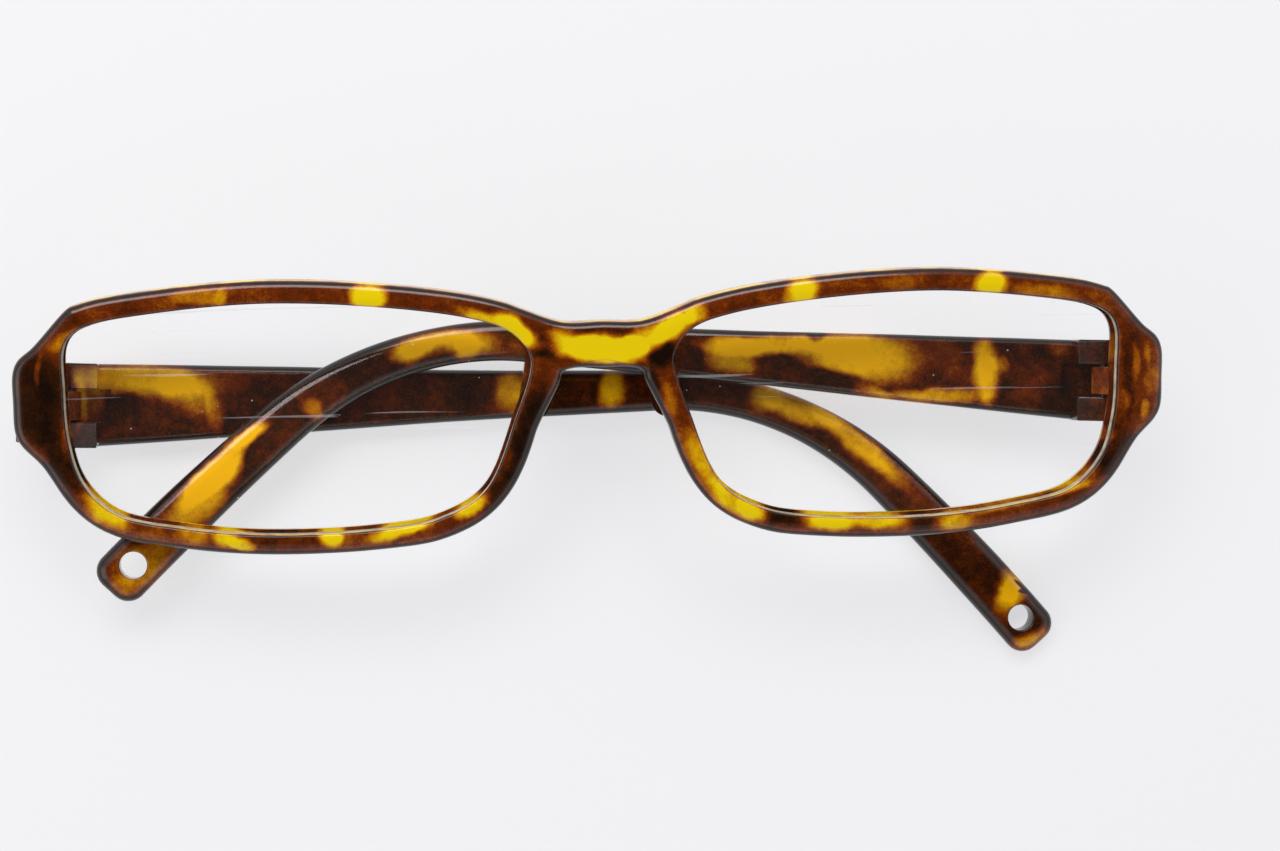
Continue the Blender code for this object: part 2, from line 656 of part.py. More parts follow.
def build():
    for obj in list(bpy.data.objects):
        bpy.data.objects.remove(obj, do_unlink=True)
    pose = front_pose()
    front = empty("front_pose", pose)
    lean = Matrix.Rotation(-ARM_LEAN, 4, "Z")
    hinge_frames = []
    arms = []
    for word, side in (("left", -1.0), ("right", 1.0)):
        pivot = pose @ Vector((side * PIVOT_X, 0.0, -HINGE_DEPTH))
        on_axis = Matrix.Translation(pivot) @ lean
        arms.append((word, side, empty(word + "_hinge", on_axis)))
        square = pose.inverted() @ on_axis @ Matrix.Rotation(-FRONT_ROLL, 4, "Y")
        hinge_frames.append((side, empty(word + "_hinge_on_front", square, front)))
    front_frame(front, hinge_frames)
    for (word, side, hinge), (_side, frame) in zip(arms, hinge_frames):
        lens("lens_" + word, side, front)
        nose_pad("nose_pad_" + word, side, front)
        hinge_pin("hinge_pin_" + word, frame)
        temple("temple_" + word, -side, hinge)


build()
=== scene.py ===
"""Looks of a folded pair of tortoiseshell reading glasses, lying on a pale table.

The pieces are surfaces worked out with numpy and set around the fixed frame, in metres.
The front is drawn flat in its own axes (x right, y towards the brow, z out of its face) and
then wrapped and tilted. Each arm is drawn from its hinge axis and turned into its lean.
Tortoiseshell is a list of soft-edged windows placed in millimetres on the piece.
"""

import json
import math

import bmesh
import bpy
import numpy as np
from mathutils import Matrix, Vector


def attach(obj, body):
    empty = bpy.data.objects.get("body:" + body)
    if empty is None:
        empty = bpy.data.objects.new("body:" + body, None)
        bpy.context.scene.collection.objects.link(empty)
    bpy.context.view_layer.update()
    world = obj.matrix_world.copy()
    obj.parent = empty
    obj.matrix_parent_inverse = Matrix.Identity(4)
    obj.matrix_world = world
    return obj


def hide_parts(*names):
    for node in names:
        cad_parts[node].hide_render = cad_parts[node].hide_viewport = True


bl_info = {
    "name": "Folding reading glasses",
    "version": (1, 0, 0),
    "blender": (4, 5, 0),
    "location": "3D View > Sidebar > Glasses",
    "description": "Builds the visible surfaces of a folded pair of tortoiseshell reading glasses",
    "category": "Add Mesh",
}

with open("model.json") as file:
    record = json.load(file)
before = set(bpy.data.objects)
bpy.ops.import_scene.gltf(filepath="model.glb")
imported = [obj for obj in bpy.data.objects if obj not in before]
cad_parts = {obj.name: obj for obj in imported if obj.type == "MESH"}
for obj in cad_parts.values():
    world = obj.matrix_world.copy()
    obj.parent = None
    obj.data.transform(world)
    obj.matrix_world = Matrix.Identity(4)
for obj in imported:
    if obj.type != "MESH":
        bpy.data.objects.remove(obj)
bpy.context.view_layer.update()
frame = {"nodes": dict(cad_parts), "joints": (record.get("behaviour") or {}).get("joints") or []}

MM = 0.001
PIVOTS = {j["child"]: np.array(j["pos_m"]) for j in frame["joints"]}
LEFT_PIVOT = PIVOTS["left_temple"]
RIGHT_PIVOT = PIVOTS["right_temple"]
HINGE_AXIS = frame["joints"][0]["axis"]
SIDES = ((-1, "left"), (1, "right"))

# Outline of the lens opening, clockwise, in shares of its half width and height, nose side at -1
OPENING_SHAPE = (
    (-0.966, 0.617), (-0.903, 0.736), (-0.746, 0.840), (-0.358, 0.952), (0.160, 1.000),
    (0.642, 0.922), (0.877, 0.840), (0.959, 0.758), (0.996, 0.630), (1.000, 0.305),
    (0.989, -0.156), (0.933, -0.528), (0.795, -0.796), (0.511, -0.929), (0.146, -1.000),
    (-0.343, -0.974), (-0.590, -0.892), (-0.791, -0.654), (-0.925, -0.052), (-1.000, 0.461),
)
# The lug's corners in shares of its corner size: in from its outer side, out past its end
LUG_LOWER_CORNER = ((1.88, 1.44), (0.45, -0.10), (0.06, -1.00))
LUG_UPPER_CORNER = ((0.06, -1.00), (0.45, -0.10), (1.55, 0.85))
# Half of the arch under the bridge, in shares of its half width: out, down from its top
ARCH_SHAPE = ((0.0, 0.0), (0.72, 0.01), (0.94, 0.10), (1.03, 0.35))
# An arm's height along its middle line, both in millimetres
ARM_HEIGHTS = (
    (0.0, 10.0), (11.0, 9.2), (18.0, 8.6), (26.0, 8.0), (43.0, 6.4), (52.0, 5.8),
    (63.0, 5.3), (74.0, 4.75), (82.0, 4.7), (90.0, 5.0), (103.0, 5.9), (118.0, 6.5),
)

# Windows in the dark plastic: x, y, half length, half width (mm), turn (degrees), strength.
# Strength 1 is clear yellow, 0.6 amber, 0.3 orange brown; a negative one is a dark spot. The
# front's are placed in its own flat axes, the others in the world's, all as seen from above.
FRONT_WINDOWS = (
    (-46.3, 13.2, 2.7, 1.0, -1, 0.36), (-43.8, 13.1, 1.3, 0.8, 68, 0.3),
    (-26.9, 12.8, 2.1, 1.7, 61, 1.0), (-12.6, 9.6, 3.9, 0.9, -23, 0.75),
    (-9.6, 8.4, 2.8, 1.0, -39, 0.95), (-3.8, 6.8, 3.0, 1.5, -11, 0.9), (1.0, 6.2, 4.0, 1.7, -1, 1.1),
    (4.9, 7.2, 2.6, 1.4, 19, 0.9), (8.4, 8.9, 2.6, 1.3, 37, 1.0), (11.0, 10.2, 1.4, 1.1, 34, 0.55),
    (23.3, 12.3, 2.1, 1.7, 62, 1.0), (46.1, 12.7, 1.8, 1.7, 89, 1.0), (52.3, 11.6, 3.9, 0.9, -9, 0.32),
    (32.5, 13.2, 8.3, 0.7, -1, 0.12), (0.8, 8.1, 4.7, 0.5, -1, -0.25),
    (-57.7, -11.3, 3.2, 1.4, -41, 0.72), (-52.5, -13.9, 2.0, 1.1, -17, 0.22),
    (-47.7, -14.5, 1.9, 1.1, -12, 0.46), (-44.0, -14.9, 1.5, 1.1, -27, 0.8),
    (-42.0, -15.7, 1.4, 0.8, -17, 0.75), (-31.9, -15.0, 1.3, 1.3, -2, 0.95),
    (-23.9, -14.3, 3.5, 0.9, 21, 0.95), (-21.8, -13.5, 2.1, 0.9, 9, 0.6),
    (-15.7, -11.8, 1.9, 0.9, 27, 0.8), (-29.0, -15.4, 1.4, 1.2, -2, 0.12),
    (11.9, -7.3, 4.1, 1.4, -59, 0.55), (14.8, -11.9, 3.1, 1.2, -46, 0.62),
    (17.4, -13.0, 1.9, 1.2, -27, 0.8), (7.5, 0.1, 2.6, 0.9, -73, 0.25),
    (26.7, -14.6, 3.1, 1.2, -6, 0.95), (32.7, -15.1, 2.9, 1.0, 1, 0.72),
    (42.3, -15.6, 2.2, 1.1, 6, 0.55), (52.0, -12.8, 7.2, 0.6, 12, 0.45),
    (57.5, -11.0, 2.6, 0.9, 29, 0.3), (64.2, 3.3, 2.0, 0.4, 89, 0.26), (65.6, 3.8, 1.6, 0.4, 91, 0.2),
    (61.9, 4.5, 1.8, 0.5, 86, 0.24), (65.3, -2.8, 1.1, 0.6, 81, 0.36), (62.9, -1.5, 1.3, 0.4, 91, 0.2),
    (61.2, -6.0, 1.1, 0.6, 39, 0.32), (66.2, 0.8, 1.1, 1.3, -1, 0.2), (63.2, 0.7, 4.1, 0.5, 91, -0.16),
    (-61.9, 8.3, 2.0, 0.6, 34, 0.3), (-64.5, 4.8, 1.8, 0.3, 85, 0.35),
    (-61.5, -2.8, 3.5, 0.4, 78, 0.18), (-64.8, 1.8, 2.7, 5.2, -1, -0.34),
    (-62.1, -6.3, 2.0, 4.6, 19, -0.24), (-60.5, 9.7, 2.5, 1.8, 29, -0.06),
    (-6.7, 6.7, 1.6, 1.3, -11, -0.5), (6.9, 5.8, 1.8, 1.6, -11, -0.5),
    (-8.6, -3.0, 1.6, 5.8, -16, -0.36), (-11.6, -10.0, 1.6, 3.0, -32, -0.3),
    (5.7, 0.8, 1.2, 2.8, 15, -0.4), (61.7, -7.5, 2.9, 3.1, -2, -0.26), (57.8, 7.2, 1.9, 2.4, -1, -0.1),
    (67.7, -2.0, 0.7, 4.8, -1, -0.25), (21.9, -14.3, 2.4, 1.2, -7, -0.32),
    (38.1, -15.5, 1.9, 1.2, -2, -0.22), (-37.2, -15.5, 3.2, 1.2, -2, -0.12),
    (-53.6, -13.1, 1.8, 1.2, -2, -0.16),
)
RIGHT_ARM_WINDOWS = (
    (57.0, 4.2, 1.5, 1.0, -1, 0.3), (53.9, -0.2, 3.0, 0.7, 32, 0.16), (47.9, 1.6, 1.5, 4.2, 3, 1.0),
    (41.4, -1.6, 5.8, 1.0, -1, 0.75), (50.1, 2.4, 0.6, 1.2, -1, 0.35), (32.2, 3.8, 6.5, 3.2, -7, 1.1),
    (19.9, 5.3, 8.1, 1.2, -1, 0.95), (33.4, -1.1, 3.7, 1.0, -21, 0.7), (18.4, 3.5, 4.9, 1.7, -1, 0.72),
    (42.7, 2.7, 3.0, 2.9, -1, 0.14), (21.8, 2.7, 2.9, 1.7, -25, -0.86),
    (29.1, 0.7, 4.2, 1.2, -15, -0.72), (17.5, 6.7, 2.7, 0.6, -1, -0.5),
    (26.8, 6.1, 1.2, 1.0, -1, -0.7), (11.4, 4.9, 1.7, 2.2, -26, -0.35),
    (57.2, 0.2, 6.4, 3.7, -1, -0.05), (5.3, 5.6, 6.1, 1.7, -1, 0.1), (-11.5, 5.4, 3.1, 1.4, -6, 0.34),
    (-18.6, 6.1, 5.4, 1.8, 5, 1.0), (-22.2, 5.4, 2.4, 1.2, 19, 0.4), (-15.1, 5.7, 1.4, 1.7, -1, 0.4),
    (-19.1, 4.6, 2.1, 1.1, 7, -0.66), (-33.3, -1.6, 1.8, 1.1, -52, 0.5),
    (-28.2, 1.6, 4.7, 2.6, 34, -0.14), (-44.1, -7.1, 6.1, 1.6, 44, 0.95),
    (-47.1, -11.5, 5.8, 2.3, 44, 0.72), (-39.8, -5.8, 3.0, 1.4, 44, -0.62),
    (-42.5, -10.4, 1.4, 1.9, 44, -0.2), (-41.2, -4.0, 2.3, 0.9, 39, 0.5),
    (-53.7, -18.9, 3.9, 2.8, 44, 0.55), (-56.6, -21.5, 1.8, 1.2, 44, 0.2),
    (-54.9, -15.9, 2.3, 0.9, -22, -0.12),
)
LEFT_ARM_WINDOWS = (
    (-53.2, 2.9, 7.9, 2.1, -5, 0.85), (-48.4, 0.9, 3.2, 2.2, -32, 0.55),
    (-45.5, -1.0, 0.9, 2.8, 7, 0.34), (-59.5, 1.1, 1.4, 2.8, -1, 0.3), (-60.7, 0.6, 0.6, 3.1, -1, 0.5),
    (-55.6, -0.2, 1.9, 1.2, -1, -0.3), (-55.2, -3.1, 7.0, 1.2, -1, -0.05),
    (-31.7, -0.1, 7.1, 1.7, -1, 0.05), (-25.1, 2.1, 1.7, 2.4, -1, 0.1),
    (-10.0, 0.5, 1.8, 2.7, -13, 0.66), (-9.0, -0.7, 1.0, 1.9, -1, 0.2), (2.3, 0.5, 1.5, 2.4, -9, 0.95),
    (21.2, -0.9, 1.8, 2.2, -51, 0.66), (25.6, -2.5, 4.7, 2.0, -23, 0.86),
    (32.4, -6.6, 6.8, 1.4, -43, 0.8), (37.7, -11.5, 5.0, 1.1, -43, 0.16),
    (34.0, -10.4, 5.8, 1.5, -43, 0.06), (25.3, -5.5, 4.5, 1.2, -25, -0.2),
    (52.5, -24.8, 2.7, 1.8, 58, 0.95), (51.2, -27.0, 2.2, 1.3, 58, 0.6),
    (54.9, -32.4, 3.1, 1.3, 8, 0.62), (53.1, -25.4, 0.9, 0.22, -36, -1.1),
    (54.0, -26.1, 1.0, 0.22, 6, -1.1), (54.6, -25.4, 0.5, 0.22, 68, -1.0),
    (58.0, -28.5, 1.3, 2.5, -2, -0.24), (52.6, -29.8, 1.5, 1.5, -2, -0.1),
    (45.2, -18.1, 3.8, 1.2, -46, 0.1),
)
PAD_WINDOWS = ((-9.0, 3.0, 2.0, 1.6, 20, 0.35), (9.6, 2.0, 1.8, 2.2, -20, 0.35))

# The round mark that the mould's pin left on each arm's inner face: x and y in millimetres
EJECTOR_PLACE = {"left": (-55.6, -0.2), "right": (56.0, 1.2)}
EJECTOR_RADIUS = 1.9 * MM

# The tortoiseshell's shade runs from 0, dark, to the clearest colour. A full window lifts it by
# WINDOW_LIFT, and fades out from the first to the second of these shares of its half sizes
GROUND = {"front": 0.29, "arm": 0.18, "pad": 0.12, "hinge": 0.47}
WINDOW_LIFT = 0.72
WINDOW_EDGE = (0.45, 1.5)
# Where the shade reaches dark, umber, brown, orange, amber and the clearest colour
SHADE_STOPS = (0.0, 0.16, 0.33, 0.50, 0.68, 0.90)
# Noise: its scales are waves in a metre. The waver moves the windows' edges by up to half its
# reach; cloud, mottle and grain each have a scale, a roughness and a share in the shade
WAVER_SCALE = 300.0
WAVER_REACH = (1.6 * MM, 1.4 * MM, 0.0)
CLOUDS = ((240.0, 0.50, 0.42), (1100.0, 0.60, 0.30), (4200.0, 0.75, 0.36))
# Painted shade and light on the edges: how much darker the bevels are painted and where,
# and where a side wall is painted lighter, both by how squarely the surface looks out of
# the face; then the painted light on a wall that looks to the brow, the side the lamp lights
PAINTED_BEVEL_SHADE = 0.30
PAINTED_SHADE_LEAN = ((0.22, 0.1), (0.48, 1.0), (0.72, 0.85), (0.92, 0.0))
PAINTED_LIGHT_LEAN = ((0.20, 1.0), (0.50, 0.0))
FRONT_PAINTED_LIGHT = 0.46
ARM_PAINTED_LIGHT = 0.10

# The camera: its place, its turn about x, y and z in degrees, its lens and its sensor's width
CAMERA_PLACE = (-33.239 * MM, 3.500 * MM, 298.322 * MM)
CAMERA_TURN = (-1.303, -7.526, -1.306)
CAMERA_LENS = 68.906
CAMERA_SENSOR = 36.0

# The world's brightness by height (-1 straight down, 0 level, 1 overhead): pale all round below
# the table, and a sky that is dim overhead. Then the lamps: place, size and power
SKY_STOPS = ((-1.0, 0.87), (-0.02, 0.87), (0.0, 0.45), (0.35, 0.75), (0.55, 1.0), (0.75, 0.42),
             (0.88, 0.02))
SKY_BLUE = 1.02
SKY_STRENGTH = 1.06
LAMPS = (
    ("window", (-0.12, 0.40, 0.46), (0.60, 0.26), 2.6),
    ("fill", (-0.58, -0.12, 0.34), (0.5, 0.4), 0.5),
)
# The table is clear by this share to the camera, which lightens its shadows and lets the arms
# show below it when they open; reflections see the same share of an even paleness
TABLE_HALF = 3.0
TABLE_DROP = 0.02 * MM
TABLE_GLOW = 1.06
TABLE_CLEARNESS = 0.70

# Edges that turn by more than these angles stay sharp: on small pieces, and on carved shells
SMALL_SHARP = math.radians(38.0)
SHELL_SHARP = math.radians(42.0)


# ---------------------------------------------------------------- sizes that a user would change

def length(name, description, default):
    """A length property in metres, its default given in millimetres."""
    return bpy.props.FloatProperty(name=name, description=description, default=default * MM,
                                   unit="LENGTH", precision=4)


def angle(name, description, default):
    """An angle property in radians, its default given in degrees."""
    return bpy.props.FloatProperty(name=name, description=description,
                                   default=math.radians(default), unit="ROTATION")


def colour(name, description, default):
    """A colour property, its default given as plain red, green and blue."""
    return bpy.props.FloatVectorProperty(name=name, description=description, default=default,
                                         subtype="COLOR", size=3, min=0.0, max=1.0)


class GLASSES_PG_front(bpy.types.PropertyGroup):
    """Sizes of the front with its rims, bridge, lugs and middle knuckles."""
    width: length("Width", "Overall width over both lugs", 135.4)
    thickness: length("Thickness", "From the face to the back of the rims", 3.6)
    wrap_radius: length("Wrap radius", "Radius of the front's slight curve", 900.0)
    opening_width: length("Opening width", "Width of each lens opening", 53.6)
    opening_height: length("Opening height", "Height of each lens opening", 26.9)
    lens_gap: length("Lens gap", "Least distance between the two openings", 16.6)
    opening_drop: length("Opening drop", "Openings' middle below the hinges", 1.3)
    rim_top: length("Rim top", "Width of the rim above the lens", 2.6)
    rim_bottom: length("Rim bottom", "Width of the rim below the lens", 2.4)
    rim_temporal: length("Rim side", "Width of the rim towards the temple", 2.9)
    rim_nasal: length("Rim nose side", "Width of the rim towards the nose", 3.5)
    rim_nasal_corner: length("Rim nose corner", "Width at the lower nose corner", 2.5)
    face_round: length("Face rounding", "Width of the rounded outer edge of the face", 1.15)
    back_round: length("Back rounding", "Radius of the outer edge at the back", 0.7)
    lip_round: length("Lip rounding", "Radius of the openings' edges", 0.3)
    crown: length("Crown", "How far the middle of the rim's face stands proud", 0.05)
    bridge_top: length("Bridge top", "Upper edge of the bridge above the hinges", 9.4)
    bridge_bottom: length("Bridge bottom", "Lower edge of the bridge above the hinges", 4.0)
    bridge_flat: length("Bridge flat", "Straight length of the bridge's upper edge", 9.2)
    bridge_arch: length("Bridge arch", "Width of the arch under the bridge", 9.8)
    lug_height: length("Lug height", "Height of each lug", 10.1)
    lug_corner: length("Lug corner", "Size of the lug's corners", 1.6)
    tilt: angle("Tilt", "The brow edge's lean forward of the hinge axes", 7.0)
    hinge_depth: length("Hinge depth", "From the face back to the hinge axes", 8.5)


class GLASSES_PG_lens(bpy.types.PropertyGroup):
    """Sizes of the lenses, their visible edge and the nose pads."""
    edge: length("Edge thickness", "Thickness of the lens at its edge", 1.8)
    bite: length("Bite", "How far the lens reaches into its groove", 0.6)
    bulge: length("Bulge", "How far the middle stands out of the edge's plane", 0.7)
    line_width: length("Edge line", "Width of the pale line where the lens meets the rim", 0.21)
    pad_width: length("Pad width", "Width of a nose pad", 3.6)
    pad_length: length("Pad length", "Length of a nose pad", 9.6)
    pad_height: length("Pad height", "Height of a nose pad behind the rim", 3.0)
    pad_top: length("Pad top", "Upper end of the pads above the hinges", 7.2)
    pad_from_opening: length("Pad place", "Upper end from the lens opening's side", 1.4)
    pad_slant: angle("Pad slant", "Pads' lean away from the nose", 9.0)
    pad_seat: length("Pad seat", "Gap between a pad and the rim's back", 0.05)


class GLASSES_PG_arm(bpy.types.PropertyGroup):
    """Sizes of the two arms and of their hinges' knuckles and ears."""
    span: length("Length", "Along the middle line from the hinge axis", 130.2)
    thickness: length("Thickness", "Thickness at the hinge", 3.3)
    tip_thickness: length("Tip thickness", "Thickness at the tip", 2.7)
    outer: length("Outer face", "Hinge axis to the arm's outer face", 5.4)
    butt_setback: length("Butt setback", "The butt end stands this far before the axis", 0.7)
    straight: length("Straight", "Length of the straight part", 70.5)
    bend: length("Bend", "Length of the ear bend", 31.8)
    bend_turn: angle("Bend turn", "How far the ear bend turns down", 45.3)
    tip_turn: angle("Tip turn", "The further slight curve up to the tip", 5.2)
    rise: angle("Rise", "Rise of the straight part's middle line", 2.65)
    tip_corner: length("Tip corner", "Radius of the tip's corners", 2.3)
    inner_round: length("Inner rounding", "Width of the rounded edges of the inner face", 1.15)
    inner_soften: bpy.props.FloatProperty(
        name="Inner softening",
        description="How much wider the inner edges' rounding grows to the tip",
        default=0.7, min=0.0, max=1.0)
    outer_round: length("Outer rounding", "Width of the rounded edges of the outer face", 0.95)
    hole_radius: length("Hole radius", "Radius of the cord hole", 1.6)
    hole_from_tip: length("Hole place", "Cord hole's middle from the tip", 4.2)
    knuckle_radius: length("Knuckle radius", "Radius of the hinge knuckles", 1.6)
    knuckle_height: length("Knuckle height", "Height of the middle knuckle", 3.3)
    ear_height: length("Ear height", "Height of each outer knuckle", 3.0)
    ear_gap: length("Ear gap", "Gap between the middle knuckle and each ear", 0.3)
    ear_length: length("Ear length", "Hinge axis to the step on the arm", 3.4)
    slot_length: length("Slot length", "Hinge axis to the end of the slot", 4.8)
    slot_depth: length("Slot depth", "Depth of the slot between the ears", 0.5)


class GLASSES_PG_finish(bpy.types.PropertyGroup):
    """Colours of the plastic, the lens edge and the table."""
    dark: colour("Dark", "Darkest brown of the tortoiseshell", (0.0090, 0.0030, 0.0012))
    umber: colour("Umber", "Dark brown patches", (0.0360, 0.0085, 0.0014))
    brown: colour("Brown", "Red brown round the patches", (0.1500, 0.0230, 0.0016))
    orange: colour("Orange", "Orange brown between brown and amber", (0.3600, 0.1020, 0.0020))
    amber: colour("Amber", "Amber between orange and yellow", (0.6000, 0.2750, 0.0025))
    yellow: colour("Yellow", "Clearest yellow of the front", (0.8300, 0.6000, 0.0035))
    # Gold: redder as the arms are thicker, and lighter as painted light against the front's shade
    gold: colour("Gold", "Clearest yellow of the arms, which are thicker", (0.9800, 0.5050, 0.0040))
    lens_edge: colour("Lens edge", "Pale ground edge of the lens", (0.46, 0.42, 0.31))
    table: colour("Table", "The plain surface under the glasses", (0.875, 0.880, 0.890))


# ---------------------------------------------------------------- outlines

def smooth_loop(points, steps):
    """Closed centripetal Catmull-Rom curve through the points.

    Between two points it is blended from three straight runs whose weights grow with the
    square root of the distance between points; all stretches are worked out at once.
    """
    p = np.asarray(points, float)
    q = [np.roll(p, -k, axis=0)[:, None, :] for k in (-1, 0, 1, 2)]
    gaps = [np.linalg.norm(b - a, axis=2, keepdims=True) ** 0.5 for a, b in zip(q, q[1:])]
    t1 = gaps[0]
    t2 = t1 + gaps[1]
    t3 = t2 + gaps[2]
    t = t1 + (t2 - t1) * np.linspace(0.0, 1.0, steps, endpoint=False)[None, :, None]
    a1 = (t1 - t) / t1 * q[0] + t / t1 * q[1]
    a2 = (t2 - t) / (t2 - t1) * q[1] + (t - t1) / (t2 - t1) * q[2]
    a3 = (t3 - t) / (t3 - t2) * q[2] + (t - t2) / (t3 - t2) * q[3]
    b1 = (t2 - t) / t2 * a1 + t / t2 * a2
    b2 = (t3 - t) / (t3 - t1) * a2 + (t - t1) / (t3 - t1) * a3
    return ((t2 - t) / (t2 - t1) * b1 + (t - t1) / (t2 - t1) * b2).reshape(-1, 2)


def run_along(points, closed):
    """Distance run along a line of points, from 0, with the closing stretch if closed."""
    ends = np.concatenate([points, points[:1]]) if closed else points
    return np.concatenate([[0.0], np.cumsum(np.linalg.norm(np.diff(ends, axis=0), axis=1))])


def resample(points, count, turn_weight=2.5 * MM):
    """An open line with count points, closer together where it turns."""
    step = np.diff(points, axis=0)
    heading = np.unwrap(np.arctan2(step[:, 1], step[:, 0]))
    turn = np.abs(np.diff(heading, prepend=heading[0]))
    cost = np.concatenate([[0.0], np.cumsum(np.linalg.norm(step, axis=1) + turn_weight * turn)])
    wanted = np.linspace(0.0, cost[-1], count)
    return np.stack([np.interp(wanted, cost, points[:, k]) for k in (0, 1)], axis=1)


def outward_normals(loop):
    """Unit normals out of an anticlockwise closed loop, square to its central difference."""
    step = np.roll(loop, -1, axis=0) - np.roll(loop, 1, axis=0)
    step /= np.linalg.norm(step, axis=1)[:, None]
    return np.stack([step[:, 1], -step[:, 0]], axis=1)


def offset_loop(loop, distance):
    """The closed loop moved outwards by a distance, one value or one for each point."""
    return loop + outward_normals(loop) * np.reshape(distance, (-1, 1))


def opening_loop(p, steps=16):
    """The right lens opening, anticlockwise from the upper end of its nose side."""
    half = np.array([p.opening_width, p.opening_height]) / 2
    centre = opening_centre(p)
    return smooth_loop(np.array(OPENING_SHAPE)[::-1] * half + centre, steps)


def opening_centre(p):
    """Middle of the right lens opening in the front's axes."""
    return np.array([p.lens_gap / 2 + p.opening_width / 2, -p.opening_drop])


def rim_loop(p, steps=4):
    """The right rim's outer side: the opening moved out by the rim's width in each direction.

    The width runs from one side's to the next as the radius of an ellipse does, and is drawn to
    the corner's own towards the lower nose corner.
    """
    loop = opening_loop(p, steps)
    normals = outward_normals(loop)
    across = np.where(normals[:, 0] > 0, p.rim_temporal, p.rim_nasal)
    upright = np.where(normals[:, 1] > 0, p.rim_top, p.rim_bottom)
    width = np.hypot(across * normals[:, 0], upright * normals[:, 1])
    width += (p.rim_nasal_corner - width) * 2 * np.prod(np.minimum(normals, 0.0), axis=1)
    return offset_loop(loop, width)


def rim_part(p, rim, keep, upwards):
    """The rim's kept points above or below its middle, in anticlockwise order."""
    centre = opening_centre(p)
    part = rim[keep & ((rim[:, 1] - centre[1]) * upwards > 0)]
    across, up = ((part - centre) * upwards).T
    return part[np.argsort(np.arctan2(up + p.opening_height / 2, across))]


def half_outline(p, steps=10):
    """Right half of the front's outline, from the arch's middle round to the bridge's top.

    It is a smooth curve through the arch, the rim's points well below the lug, the lug's
    corners, the rim's points well above it, and the bridge's upper edge.
    """
    below_lug = 5.0 * MM
    above_lug = 5.8 * MM
    below_bridge = 4.9 * MM
    above_bridge = 1.6 * MM
    rim = rim_loop(p)
    middle = p.hinge_depth * math.tan(p.tilt)
    top = middle + p.lug_height / 2
    bottom = middle - p.lug_height / 2
    outer_half = rim[:, 0] > opening_centre(p)[0]
    under = rim[:, 1] < np.where(outer_half, bottom - below_lug, p.bridge_bottom - below_bridge)
    over = rim[:, 1] > np.where(outer_half, top + above_lug, p.bridge_top + above_bridge)
    half = p.width / 2
    arch = p.bridge_arch / 2
    right = [(out * arch, p.bridge_bottom - down * arch) for out, down in ARCH_SHAPE]
    right += list(rim_part(p, rim, under, -1))
    right += [(half - a * p.lug_corner, bottom - b * p.lug_corner) for a, b in LUG_LOWER_CORNER]
    right += [(half, middle)]
    right += [(half - a * p.lug_corner, top + b * p.lug_corner) for a, b in LUG_UPPER_CORNER]
    right += list(rim_part(p, rim, over, 1))
    right += [(p.bridge_flat / 2, p.bridge_top), (0.0, p.bridge_top)]
    left = [(-x, y) for x, y in right[-2:0:-1]]
    loop = smooth_loop(right + left, steps)
    return loop[:(len(right) - 1) * steps + 1]


def match_to(loop, line, centre, turn_share=0.85):
    """Points of a closed loop that lie across from a line's points, seen from a centre.

    Each point is given the share it has of one turn round the centre, mixed with a small
    share of the distance run, so that it always grows; equal shares lie across.
    """
    def headings(points):
        return np.arctan2(points[:, 1] - centre[1], points[:, 0] - centre[0])

    def shares(points):
        turn = np.unwrap(headings(points))
        run = run_along(points, True)
        by_turn = (turn - turn[0]) / (2 * math.pi)
        by_run = run[:-1] / run[-1]
        return np.maximum.accumulate(turn_share * by_turn + (1 - turn_share) * by_run)

    apart = (headings(loop) - headings(line[:1]) + math.pi) % (2 * math.pi) - math.pi
    loop = np.roll(loop, -int(np.argmin(np.abs(apart))), axis=0)
    own = np.append(shares(loop), 1.0)
    closed = np.concatenate([loop, loop[:1]])
    wanted = shares(line)
    return np.stack([np.interp(wanted, own, closed[:, k]) for k in (0, 1)], axis=1)


# ---------------------------------------------------------------- meshes

def with_z(loop, z):
    """A flat line with its height, one value or one for each point."""
    return np.column_stack([loop, np.broadcast_to(z, len(loop))])


def grid_faces(rows, columns, closed, start=0):
    """Quads of a grid of rows by columns, whose columns may close round."""
    steps = columns if closed else columns - 1
    i, j = np.meshgrid(np.arange(rows - 1), np.arange(steps), indexing="ij")
    ahead = (j + 1) % columns
    quads = np.stack([i * columns + j, i * columns + ahead, (i + 1) * columns + ahead,
                      (i + 1) * columns + j], axis=-1)
    return quads.reshape(-1, 4) + start


class Surface:
    """Gathers grids of points and makes one closed mesh of them."""

    def __init__(self):
        self.points = []
        self.faces = []
        self.count = 0

    def add(self, rows, closed=True):
        """One grid: an array of rows, columns and x, y, z. A closed grid's columns run round."""
        rows = np.asarray(rows, float)
        self.points.append(rows.reshape(-1, 3))
        self.faces.append(grid_faces(rows.shape[0], rows.shape[1], closed, self.count))
        self.count += rows.shape[0] * rows.shape[1]

    def piece(self, name, shape=None, sharp=SMALL_SHARP, merge=0.0003 * MM):
        """The mesh object: points put in place by shape, doubles merged, faces outwards."""
        points = np.concatenate(self.points)
        if shape is not None:
            points = shape(points)
        mesh = bpy.data.meshes.new(name)
        mesh.from_pydata(points, [], np.concatenate(self.faces))
        work = bmesh.new()
        work.from_mesh(mesh)
        bmesh.ops.remove_doubles(work, verts=work.verts, dist=merge)
        bmesh.ops.dissolve_degenerate(work, edges=work.edges, dist=merge)
        bmesh.ops.recalc_face_normals(work, faces=work.faces)
        work.to_mesh(mesh)
        work.free()
        mesh.shade_smooth()
        mesh.set_sharp_from_angle(angle=sharp)
        made = bpy.data.objects.new(name, mesh)
        bpy.context.scene.collection.objects.link(made)
        return made


def rounded(width, height, steps=7):
    """Inset and depth along a quarter of an ellipse, from the flat face to the side."""
    turn = np.linspace(0.0, math.pi / 2, steps)
    return np.column_stack([width * (1 - np.sin(turn)), height * (1 - np.cos(turn))])


